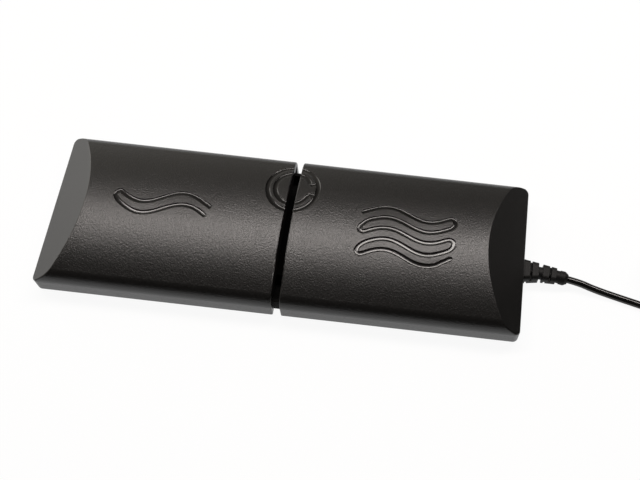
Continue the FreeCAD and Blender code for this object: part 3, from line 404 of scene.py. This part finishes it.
def on_arch(mesh, face):
    """Whether a face lies on the arch: near it with every corner, and turned its way."""
    ways = [from_arch_axis(mesh.vertices[index].co) for index in face.vertices]
    near = all(abs(way.length - arch_radius * mm) < near_arch * mm for way in ways)
    return near and face.normal.dot(from_arch_axis(face.center).normalized()) > arch_facing


def groove_faces(mesh, tool):
    """For each face of a cut mesh, whether it lies in a groove."""
    tree = surface_tree(tool)
    return [
        tree.find_nearest(face.center)[3] < on_groove * mm and not on_arch(mesh, face)
        for face in mesh.polygons
    ]


def source_normal(source, tree, place):
    """The source's smooth normal at its point nearest to a place."""
    spot, _, index, _ = tree.find_nearest(place)
    polygon = source.polygons[index]
    shares = poly_3d_calc([source.vertices[v].co for v in polygon.vertices], spot)
    mixed = Vector()
    for share, loop in zip(shares, polygon.loop_indices):
        mixed += source.corner_normals[loop].vector * share
    return mixed.normalized()


def keep_normals(mesh, source, in_groove):
    """The source's smooth normals on all faces outside the grooves."""
    tree = surface_tree(source)
    normals = [Vector(corner.vector) for corner in mesh.corner_normals]
    for face, engraved in zip(mesh.polygons, in_groove):
        if engraved:
            continue
        for corner in face.loop_indices:
            place = mesh.vertices[mesh.loops[corner].vertex_index].co
            normals[corner] = source_normal(source, tree, place.lerp(face.center, corner_inset))
    mesh.normals_split_custom_set(normals)


def joined_mesh(source):
    """A copy of a mesh whose faces share their corners."""
    shape = bmesh.new()
    shape.from_mesh(source)
    bmesh.ops.remove_doubles(shape, verts=shape.verts, dist=weld_reach * mm)
    joined = bpy.data.meshes.new("joined pedal")
    shape.to_mesh(joined)
    shape.free()
    return joined


def engraved_pedal(name, lines):
    """A pedal with its signs cut into the arch, and which of its faces lie in the grooves."""
    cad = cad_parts[f"{name}_pedal"]
    source = cad.data.copy()
    source.transform(cad.matrix_world)
    tool = grooves_tool(lines)
    mesh = cut_mesh(joined_mesh(source), tool)
    mesh.name = f"{name}_pedal_shell"
    in_groove = groove_faces(mesh, tool)
    for face in mesh.polygons:
        face.use_smooth = True
    mesh.set_sharp_from_angle(angle=math.radians(sharp_deg))
    keep_normals(mesh, source, in_groove)
    piece = bpy.data.objects.new(f"{name}_pedal_shell", mesh)
    bpy.context.scene.collection.objects.link(piece)
    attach(piece, f"{name}_pedal")
    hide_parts(f"{name}_pedal")
    return piece, in_groove


# Free cord
def coil_point(turn):
    """A point of the coil's line: in and out again, one layer higher each time."""
    layer_turns = coil_turns / coil_layers
    phase = turn % (2 * layer_turns)
    fold = phase if phase <= layer_turns else 2 * layer_turns - phase
    radius = coil_middle_radius + coil_pitch * (layer_turns / 2 - fold)
    layer = 0.0
    for number in range(1, coil_layers):
        share = min(max((turn - number * layer_turns) / coil_climb_turns + 0.5, 0.0), 1.0)
        layer += share * share * (3 - 2 * share)
    angle = math.radians(coil_start_deg) + 2 * math.pi * turn
    x, y = coil_centre
    return (x + radius * math.cos(angle), y + radius * math.sin(angle), coil_first_z + coil_pitch * layer)


def free_cord():
    """The cord from the strain relief through its coil to the plug, one smooth spline."""
    steps = round(coil_turns * coil_points_per_turn)
    coil = [coil_point(coil_turns * index / steps) for index in range(steps + 1)]
    route = [at(*point) for point in (*cord_lead, *coil, *cord_tail)]
    curve = bpy.data.curves.new("cord", "CURVE")
    curve.dimensions = "3D"
    spline = curve.splines.new("NURBS")
    spline.points.add(len(route) - 1)
    for point, place in zip(spline.points, route):
        point.co = (*place, 1.0)
        point.radius = cord_diameter / 2 * mm
    spline.order_u = cord_spline_order
    spline.use_endpoint_u = True
    spline.resolution_u = cord_steps
    curve.bevel_depth = 1.0
    curve.bevel_resolution = cord_round_steps
    curve.use_fill_caps = True
    cord = bpy.data.objects.new("cord", curve)
    bpy.context.scene.collection.objects.link(cord)
    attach(cord, "base")
    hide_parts("cord_lead", "cord_coil", "cord_tail")
    return cord


# Return springs
def spring_point(turn):
    """A point of a spring's wire: close-wound ends, open in the middle."""
    low = spring_low
    high = spring_high
    pitch = (high - low - 2 * spring_end_pitch) / (spring_turns - 2)
    if turn < 1:
        z = low + spring_end_pitch * turn
    elif turn > spring_turns - 1:
        z = high - spring_end_pitch * (spring_turns - turn)
    else:
        z = low + spring_end_pitch + pitch * (turn - 1)
    angle = 2 * math.pi * turn
    return Vector((spring_mean_radius * math.cos(angle), spring_mean_radius * math.sin(angle), z))


def return_springs(side, name):
    """The two springs under one pedal, their wire ends outwards."""
    def build(shape):
        count = round(spring_turns * spring_steps)
        line = [spring_point(spring_turns * index / count) for index in range(count + 1)]
        for y in (-spring_y, spring_y):
            place = Vector((side * spring_x, y, 0))
            turned = [place + Vector((point.x * side, point.y * side, point.z)) for point in line]
            rings = tube_rings([point * mm for point in turned], spring_wire / 2 * mm, spring_wire_sides)
            skin(shape, rings)

    piece = mesh_piece(f"{name}_springs", "base", build)
    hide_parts(f"{name}_return_springs")
    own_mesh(piece)
    return piece


# Node helpers
def feed(tree, made, inputs):
    """Gives a node its inputs, each a value or a socket to link."""
    for key, what in inputs.items():
        if isinstance(what, bpy.types.NodeSocket):
            tree.links.new(what, made.inputs[key])
        else:
            made.inputs[key].default_value = what


def node(tree, kind, inputs=None, **settings):
    """One shader node with its settings and its inputs."""
    made = tree.nodes.new(kind)
    for key, what in settings.items():
        setattr(made, key, what)
    feed(tree, made, inputs or {})
    return made


def value(tree, operation, first, second, clamp=False):
    """The output of one maths node."""
    made = node(tree, "ShaderNodeMath", {0: first, 1: second}, operation=operation, use_clamp=clamp)
    return made.outputs[0]


def blend(tree, share, first, second, kind="RGBA"):
    """The output of one mix of two colours, or of two values."""
    made = node(tree, "ShaderNodeMix", data_type=kind)
    shown = {socket.name: index for index, socket in enumerate(made.inputs) if socket.enabled}
    feed(tree, made, {shown["Factor"]: share, shown["A"]: first, shown["B"]: second})
    return next(socket for socket in made.outputs if socket.enabled)


def spread(tree, source, low, high):
    """A 0 to 1 value spread between two numbers."""
    made = node(tree, "ShaderNodeMapRange", {"Value": source, "To Min": low, "To Max": high})
    return made.outputs["Result"]


def effect(name, inputs, outputs):
    """A new node group with named inputs and outputs; returns its tree, input node and output node."""
    tree = bpy.data.node_groups.new(name, "ShaderNodeTree")
    for label, kind, start in inputs:
        socket = tree.interface.new_socket(label, in_out="INPUT", socket_type=kind)
        socket.default_value = start
    for label, kind in outputs:
        tree.interface.new_socket(label, in_out="OUTPUT", socket_type=kind)
    return tree, tree.nodes.new("NodeGroupInput"), tree.nodes.new("NodeGroupOutput")


def placed(tree, group, inputs):
    """A group placed in a material with its own values."""
    return node(tree, "ShaderNodeGroup", inputs, node_tree=group)


# Effects that several materials share
def over_edges(tree, start, height):
    """The normal of a height over softened edges, and how far the softening turns the surface."""
    edge = value(tree, "MULTIPLY", start.outputs["Edge"], mm)
    soft = node(tree, "ShaderNodeBevel", {"Radius": edge}, samples=edge_samples)
    bump = node(tree, "ShaderNodeBump", {
        "Height": height, "Normal": soft.outputs["Normal"],
        "Distance": value(tree, "MULTIPLY", start.outputs["Depth"], mm), "Strength": 1.0,
    })
    geometry = node(tree, "ShaderNodeNewGeometry")
    along = node(
        tree, "ShaderNodeVectorMath", {0: soft.outputs["Normal"], 1: geometry.outputs["Normal"]},
        operation="DOT_PRODUCT",
    )
    turned = value(tree, "SUBTRACT", 1.0, along.outputs["Value"], clamp=True)
    return bump.outputs["Normal"], turned


def moulded_face():
    """Moulded plastic: a fine eroded grain, soft edges, and where edges and grain tops are rubbed."""
    tree, start, end = effect(
        "moulded face",
        [("Size", "NodeSocketFloat", 0.5), ("Depth", "NodeSocketFloat", 0.02),
         ("Edge", "NodeSocketFloat", 0.3)],
        [("Normal", "NodeSocketVector"), ("Grain", "NodeSocketFloat"), ("Rub", "NodeSocketFloat")],
    )
    place = node(tree, "ShaderNodeTexCoord").outputs["Object"]
    scale = value(tree, "DIVIDE", 1 / mm, start.outputs["Size"])
    fine = node(tree, "ShaderNodeTexNoise", {
        "Vector": place, "Scale": scale, "Detail": 2.0, "Roughness": 0.65,
    }).outputs["Fac"]
    pits = node(tree, "ShaderNodeTexVoronoi", {
        "Vector": place, "Scale": value(tree, "MULTIPLY", scale, pit_scale),
    }, feature="SMOOTH_F1")
    height = value(tree, "ADD", fine, value(tree, "MULTIPLY", pits.outputs["Distance"], pit_share))
    normal, turned = over_edges(tree, start, height)
    rubbed = value(tree, "MULTIPLY", value(tree, "MULTIPLY", turned, fine), plastic_rub, clamp=True)
    feed(tree, end, {"Normal": normal, "Grain": height, "Rub": rubbed})
    return tree


def metal_face():
    """Metal: fine marks stretched along one direction, soft edges, and how much its edges are rubbed."""
    tree, start, end = effect(
        "metal face",
        [("Stretch", "NodeSocketVector", (1.0, 8.0, 8.0)), ("Depth", "NodeSocketFloat", 0.01),
         ("Edge", "NodeSocketFloat", 0.1)],
        [("Normal", "NodeSocketVector"), ("Marks", "NodeSocketFloat"), ("Rub", "NodeSocketFloat")],
    )
    place = node(tree, "ShaderNodeTexCoord").outputs["Object"]
    drawn = node(
        tree, "ShaderNodeVectorMath", {0: place, 1: start.outputs["Stretch"]}, operation="MULTIPLY",
    )
    marks = node(tree, "ShaderNodeTexNoise", {
        "Vector": drawn.outputs[0], "Scale": 700.0, "Detail": 3.0,
    }).outputs["Fac"]
    normal, turned = over_edges(tree, start, marks)
    rubbed = value(tree, "MULTIPLY", turned, metal_rub, clamp=True)
    feed(tree, end, {"Normal": normal, "Marks": marks, "Rub": rubbed})
    return tree


moulded = moulded_face()
metallic = metal_face()


# Materials
def grey(level, warm=0.0):
    """A neutral colour, a little warmer or cooler."""
    return (level * (1 + warm), level, level * (1 - warm), 1.0)


def shader_of(material):
    """A material's shader."""
    return next(n for n in material.node_tree.nodes if n.type == "BSDF_PRINCIPLED")


def surface(name):
    """A new material with its tree and its shader."""
    made = bpy.data.materials.new(name)
    made.use_nodes = True
    return made, made.node_tree, shader_of(made)


def plastic(name, colour, lighter, roughness, grain, depth, edge):
    """Moulded plastic of one colour, a little lighter on its rubbed edges and grain tops."""
    made, tree, shader = surface(name)
    face = placed(tree, moulded, {"Size": grain, "Depth": depth, "Edge": edge})
    tone = value(tree, "MULTIPLY", face.outputs["Grain"], plastic_tone)
    share = value(tree, "ADD", tone, face.outputs["Rub"], clamp=True)
    feed(tree, shader, {
        "Base Color": blend(tree, share, colour, lighter),
        "Roughness": spread(tree, face.outputs["Grain"], *roughness),
        "Normal": face.outputs["Normal"],
    })
    return made


def metal(name, colour, darker, roughness, stretch, depth, edge):
    """Bare or plated metal with fine marks."""
    made, tree, shader = surface(name)
    face = placed(tree, metallic, {"Stretch": stretch, "Depth": depth, "Edge": edge})
    feed(tree, shader, {
        "Metallic": 1.0,
        "Base Color": blend(tree, face.outputs["Marks"], darker, colour),
        "Roughness": spread(tree, face.outputs["Marks"], *roughness),
        "Normal": face.outputs["Normal"],
    })
    return made


def pedal_plastic():
    """Black moulded plastic with a fine eroded grain."""
    return plastic(
        "pedal plastic", grey(0.004, 0.04), grey(0.008, 0.04),
        roughness=(0.235, 0.37), grain=0.75, depth=0.12, edge=0.3,
    )


def end_plastic():
    """The same plastic with a much finer grain, on the sloping ends."""
    return plastic(
        "end plastic", grey(0.003, 0.02), grey(0.006, 0.02),
        roughness=(0.28, 0.36), grain=0.5, depth=0.02, edge=0.3,
    )


def groove_plastic():
    """The same plastic without its grain, smooth in the grooves of the signs."""
    return plastic(
        "groove plastic", grey(0.004, 0.04), grey(0.007, 0.04),
        roughness=(0.13, 0.19), grain=1.2, depth=0.006, edge=0.3,
    )


def gap_painted_shade():
    """Matt black plastic of the cover that shows through the gap, painted much darker than the tray
    plastic it is made of: painted shade in the gap.
    """
    made = plastic(
        "gap painted shade", grey(0.001), grey(0.003),
        roughness=(0.8, 0.9), grain=0.8, depth=0.02, edge=0.2,
    )
    shader_of(made).inputs["Specular IOR Level"].default_value = 0.05
    return made


def tray_plastic():
    """The plainer black plastic of the tray, cover and clamp; the cover shows a darker copy of it as
    painted shade.
    """
    made = plastic(
        "tray plastic", grey(0.004), grey(0.01),
        roughness=(0.7, 0.82), grain=0.8, depth=0.02, edge=0.2,
    )
    shader_of(made).inputs["Specular IOR Level"].default_value = 0.12
    return made


def foot_rubber():
    """Soft matt rubber."""
    return plastic(
        "foot rubber", grey(0.016), grey(0.04),
        roughness=(0.75, 0.9), grain=0.6, depth=0.03, edge=0.3,
    )


def relief_plastic():
    """Soft charcoal plastic of the strain relief."""
    made = plastic(
        "relief plastic", grey(0.003, 0.01), grey(0.008),
        roughness=(0.45, 0.6), grain=0.5, depth=0.03, edge=0.4,
    )
    shader_of(made).inputs["Specular IOR Level"].default_value = 0.2
    return made


def cord_jacket():
    """The cord's smooth black jacket."""
    return plastic(
        "cord jacket", grey(0.003), grey(0.006),
        roughness=(0.1, 0.15), grain=2.4, depth=0.001, edge=0.1,
    )


def switch_case():
    """Glass-filled plastic of the microswitches."""
    return plastic(
        "switch case", grey(0.018), grey(0.05),
        roughness=(0.42, 0.55), grain=0.35, depth=0.01, edge=0.15,
    )


def plunger_plastic():
    """Red plastic of the plungers."""
    return plastic(
        "plunger plastic", (0.5, 0.02, 0.015, 1), (0.7, 0.1, 0.06, 1),
        roughness=(0.3, 0.42), grain=0.4, depth=0.004, edge=0.1,
    )


def solder_mask():
    """Green solder mask with a pattern of lighter tracks."""
    made, tree, shader = surface("solder mask")
    face = placed(tree, moulded, {"Size": 0.9, "Depth": 0.003, "Edge": 0.1})
    place = node(tree, "ShaderNodeTexCoord").outputs["Object"]
    tracks = node(tree, "ShaderNodeTexBrick", {
        "Vector": place, "Scale": 90.0, "Mortar Size": 0.035, "Mortar Smooth": 0.2,
    })
    share = value(tree, "MULTIPLY", tracks.outputs["Fac"], track_share)
    colour = blend(tree, share, (0.006, 0.07, 0.028, 1), (0.02, 0.2, 0.08, 1))
    feed(tree, shader, {"Base Color": colour, "Normal": face.outputs["Normal"], "Roughness": 0.32})
    return made


def chip_package():
    """Moulded black chip package."""
    return plastic(
        "chip package", grey(0.02), grey(0.045),
        roughness=(0.4, 0.5), grain=0.3, depth=0.006, edge=0.1,
    )


def small_components():
    """Ceramic and metal-cased components, each with its own shade."""
    made, tree, shader = surface("small components")
    face = placed(tree, moulded, {"Size": 0.4, "Depth": 0.003, "Edge": 0.1})
    island = node(tree, "ShaderNodeNewGeometry").outputs["Random Per Island"]
    feed(tree, shader, {
        "Base Color": blend(tree, island, (0.32, 0.2, 0.1, 1), (0.62, 0.58, 0.52, 1)),
        "Roughness": spread(tree, face.outputs["Grain"], low=0.3, high=0.45),
        "Normal": face.outputs["Normal"],
    })
    return made


def wire_insulation():
    """Four wires, each with its own colour."""
    made, tree, shader = surface("wire insulation")
    face = placed(tree, moulded, {"Size": 0.5, "Depth": 0.002, "Edge": 0.05})
    place = node(tree, "ShaderNodeTexCoord").outputs["Object"]
    across = node(tree, "ShaderNodeSeparateXYZ", {"Vector": place}).outputs["Y"]
    step = node(tree, "ShaderNodeMapRange", {
        "Value": across, "From Min": wire_first_y * mm, "From Max": wire_last_y * mm, "Steps": 3.0,
    }, interpolation_type="STEPPED")
    ramp = node(tree, "ShaderNodeValToRGB", {"Fac": step.outputs["Result"]})
    ramp.color_ramp.interpolation = "CONSTANT"
    shades = (
        (0.0, grey(0.02)), (0.25, (0.02, 0.28, 0.06, 1)), (0.6, grey(0.75)), (0.9, (0.5, 0.02, 0.015, 1)),
    )
    elements = ramp.color_ramp.elements
    while len(elements) < len(shades):
        elements.new(1.0)
    for element, (position, shade) in zip(elements, shades):
        element.position = position
        element.color = shade
    feed(tree, shader, {
        "Base Color": ramp.outputs["Color"], "Normal": face.outputs["Normal"], "Roughness": 0.4,
    })
    return made


def header_nylon():
    """Natural nylon of the wire header."""
    return plastic(
        "header nylon", (0.72, 0.69, 0.6, 1), (0.84, 0.82, 0.76, 1),
        roughness=(0.4, 0.5), grain=0.5, depth=0.005, edge=0.15,
    )


def plug_grip_plastic():
    """Soft-touch black plastic of the plug."""
    return plastic(
        "plug grip plastic", grey(0.015), grey(0.04),
        roughness=(0.5, 0.62), grain=0.4, depth=0.012, edge=0.5,
    )


def plug_insulator():
    """White insulator of the plug's tongue."""
    return plastic(
        "plug insulator", (0.78, 0.78, 0.76, 1), (0.86, 0.86, 0.85, 1),
        roughness=(0.35, 0.45), grain=0.4, depth=0.003, edge=0.1,
    )


def ground_steel():
    """Ground steel of the hinge pins."""
    return metal(
        "ground steel", (0.62, 0.62, 0.64, 1), (0.42, 0.42, 0.43, 1),
        roughness=(0.2, 0.36), stretch=(9, 1, 9), depth=0.004, edge=0.15,
    )


def spring_wire_steel():
    """Drawn spring wire and spring sheet."""
    return metal(
        "spring wire steel", (0.58, 0.57, 0.56, 1), (0.3, 0.3, 0.3, 1),
        roughness=(0.25, 0.42), stretch=(6, 6, 1), depth=0.004, edge=0.05,
    )


def screw_steel():
    """Zinc-plated screws."""
    return metal(
        "screw steel", (0.6, 0.6, 0.58, 1), (0.38, 0.38, 0.36, 1),
        roughness=(0.28, 0.45), stretch=(5, 5, 2), depth=0.006, edge=0.15,
    )


def tinned_brass():
    """Tinned solder pins."""
    return metal(
        "tinned brass", (0.72, 0.7, 0.66, 1), (0.5, 0.48, 0.43, 1),
        roughness=(0.25, 0.42), stretch=(4, 4, 2), depth=0.006, edge=0.08,
    )


def shell_nickel():
    """Nickel-plated sheet of the plug's shell."""
    return metal(
        "shell nickel", (0.7, 0.69, 0.67, 1), (0.5, 0.49, 0.48, 1),
        roughness=(0.16, 0.3), stretch=(1, 7, 7), depth=0.003, edge=0.2,
    )


def contact_gold():
    """Gold-plated contacts."""
    return metal(
        "contact gold", (0.86, 0.62, 0.25, 1), (0.62, 0.42, 0.16, 1),
        roughness=(0.18, 0.3), stretch=(1, 8, 8), depth=0.002, edge=0.05,
    )


def tie_fabric():
    """Black hook-and-loop fabric: a tight weave under a fuzz of loops."""
    made, tree, shader = surface("tie fabric")
    place = node(tree, "ShaderNodeTexCoord").outputs["Object"]
    loops = node(tree, "ShaderNodeTexNoise", {
        "Vector": place, "Scale": 2600.0, "Detail": 4.0, "Roughness": 0.7,
    }).outputs["Fac"]
    rows = node(tree, "ShaderNodeTexVoronoi", {"Vector": place, "Scale": 1100.0})
    height = value(tree, "ADD", loops, rows.outputs["Distance"])
    bump = node(tree, "ShaderNodeBump", {"Height": height, "Distance": loop_depth * mm, "Strength": 1.0})
    feed(tree, shader, {
        "Base Color": blend(tree, loops, grey(0.008), grey(0.05)), "Normal": bump.outputs["Normal"],
        "Roughness": 0.95, "Sheen Weight": 0.3, "Sheen Roughness": 0.5,
    })
    return made


def dress(material, *pieces):
    """Gives a material to CAD nodes, by name, or to pieces."""
    for piece in pieces:
        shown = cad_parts[piece] if isinstance(piece, str) else piece
        if not shown.material_slots:
            shown.data.materials.append(material)
        for place in shown.material_slots:
            place.material = material


def dress_pedals(grained, smooth, fine, pedals):
    """Gives each pedal its finishes: grained, smooth in its grooves, and finer on its sloping end."""
    finishes = [grained, smooth, fine]
    for piece, in_groove in pedals:
        piece.data.materials.clear()
        for material in finishes:
            piece.data.materials.append(material)
        for face, engraved in zip(piece.data.polygons, in_groove):
            facing_out = face.normal.z > 0 and abs(face.normal.x) > end_facing
            at_end = facing_out and abs(face.center.x) > end_slope_x * mm
            face.material_index = finishes.index(smooth if engraved else fine if at_end else grained)


# Stage
def floor():
    """A plain pale floor that keeps the object's shadow."""
    half = floor_size / 2
    corners = [at(x * half, y * half, 0) for x, y in ((-1, -1), (1, -1), (1, 1), (-1, 1))]
    mesh = bpy.data.meshes.new("floor")
    mesh.from_pydata(corners, [], [(0, 1, 2, 3)])
    plane = bpy.data.objects.new("floor", mesh)
    bpy.context.scene.collection.objects.link(plane)
    made, tree, shader = surface("floor paint")
    place = node(tree, "ShaderNodeTexCoord").outputs["Object"]
    mottle = node(tree, "ShaderNodeTexNoise", {"Vector": place, "Scale": 14.0, "Detail": 3.0})
    roughness = spread(tree, mottle.outputs["Fac"], low=0.55, high=0.65)
    feed(tree, shader, {"Base Color": floor_colour, "Roughness": roughness})
    rays = node(tree, "ShaderNodeLightPath")
    seen = value(tree, "MULTIPLY", rays.outputs["Is Camera Ray"], floor_camera_share)
    across = node(tree, "ShaderNodeSeparateXYZ", {"Vector": place}).outputs["X"]
    shown = node(tree, "ShaderNodeMapRange", {
        "Value": across, "From Min": floor_fade_x[0] * mm, "From Max": floor_fade_x[1] * mm,
        "To Min": floor_glossy_share, "To Max": floor_glossy_least,
    })
    mirrored = value(tree, "MULTIPLY", rays.outputs["Is Glossy Ray"], shown.outputs["Result"])
    bright = node(tree, "ShaderNodeEmission", {"Color": white, "Strength": 1.0})
    both = node(tree, "ShaderNodeMixShader", {
        0: value(tree, "ADD", seen, mirrored, clamp=True), 1: shader.outputs[0], 2: bright.outputs[0],
    })
    out = next(n for n in tree.nodes if n.type == "OUTPUT_MATERIAL")
    tree.links.new(both.outputs[0], out.inputs["Surface"])
    mesh.materials.append(made)


def softbox(name, place, aim, width, depth, power, colour):
    """A flat soft lamp at a place, turned to a point."""
    lamp = bpy.data.lights.new(name, "AREA")
    lamp.shape = "RECTANGLE"
    lamp.size = width * mm
    lamp.size_y = depth * mm
    lamp.energy = power
    lamp.color = colour
    made = bpy.data.objects.new(name, lamp)
    made.location = at(*place)
    made.rotation_euler = (at(*aim) - made.location).to_track_quat("-Z", "Y").to_euler()
    bpy.context.scene.collection.objects.link(made)


def surroundings():
    """As pale as the far floor for the camera, and otherwise dark, but paler low at the left and back."""
    world = bpy.data.worlds.new("surroundings")
    world.use_nodes = True
    tree = world.node_tree
    tree.nodes.clear()
    way = node(tree, "ShaderNodeTexCoord").outputs["Generated"]
    facing = node(tree, "ShaderNodeVectorMath", {0: way, 1: surround_way}, operation="DOT_PRODUCT")
    pale = node(tree, "ShaderNodeMapRange", {
        "Value": facing.outputs["Value"], "From Min": surround_from, "From Max": surround_to,
        "To Min": surround_grey, "To Max": surround_back,
    })
    seen = node(tree, "ShaderNodeLightPath").outputs["Is Camera Ray"]
    strength = blend(tree, seen, pale.outputs["Result"], surround_shown, "FLOAT")
    tint = blend(tree, seen, surround_colour, white)
    back = node(tree, "ShaderNodeBackground", {"Color": tint, "Strength": strength})
    out = node(tree, "ShaderNodeOutputWorld")
    tree.links.new(back.outputs[0], out.inputs["Surface"])
    bpy.context.scene.world = world


def studio():
    """Floor, surroundings and lamps."""
    floor()
    surroundings()
    softbox(
        "top lamp", place=(105, 341, 950), aim=(175, 41, 0), width=1560, depth=170,
        power=14.5, colour=(1.0, 0.935, 0.895),
    )
    softbox(
        "left lamp", place=(-900, 430, 260), aim=(0, 0, 0), width=600, depth=300,
        power=1.7, colour=(1.0, 0.97, 0.93),
    )


def camera():
    """The camera at the photograph's place, with its lens and shift."""
    lens = bpy.data.cameras.new("camera")
    lens.lens = camera_lens
    lens.shift_x, lens.shift_y = camera_shift
    lens.clip_start = camera_near * mm
    right = Vector(camera_right).normalized()
    up = Vector(camera_up).normalized()
    turn = Matrix((right, up, right.cross(up))).transposed().to_4x4()
    made = bpy.data.objects.new("camera", lens)
    made.matrix_world = Matrix.Translation(at(*camera_place)) @ turn
    bpy.context.scene.collection.objects.link(made)
    bpy.context.scene.camera = made
    bpy.context.scene.view_settings.view_transform = "Standard"


# The dressed model
camera()
studio()
cord = free_cord()
pedals = [engraved_pedal("left", left_lines()), engraved_pedal("right", right_lines())]
springs = [return_springs(-1, "left"), return_springs(1, "right")]

dress_pedals(pedal_plastic(), groove_plastic(), end_plastic(), pedals)
dress(tray_plastic(), "base_tray", "cable_clamp")
# The cover under the gap gets a darker copy of the tray plastic: painted shade.
dress(gap_painted_shade(), "board_cover")
dress(foot_rubber(), "rubber_feet", "bump_stops")
dress(ground_steel(), "left_hinge_pins", "right_hinge_pins")
dress(spring_wire_steel(), "left_switch_lever", "right_switch_lever", *springs)
dress(switch_case(), "left_switch_body", "right_switch_body")
dress(plunger_plastic(), "left_switch_plunger", "right_switch_plunger")
dress(tinned_brass(), "switch_terminals")
dress(solder_mask(), "circuit_board")
dress(chip_package(), "controller_chip")
dress(small_components(), "board_components")
dress(screw_steel(), "board_screws", "clamp_screws")
dress(header_nylon(), "cable_header")
dress(wire_insulation(), "cable_wires")
dress(cord_jacket(), "cable_inside", cord)
dress(relief_plastic(), "strain_relief")
dress(tie_fabric(), "cable_tie")
dress(plug_grip_plastic(), "plug_grip")
dress(shell_nickel(), "plug_shell")
dress(plug_insulator(), "plug_tongue")
dress(contact_gold(), "plug_contacts")
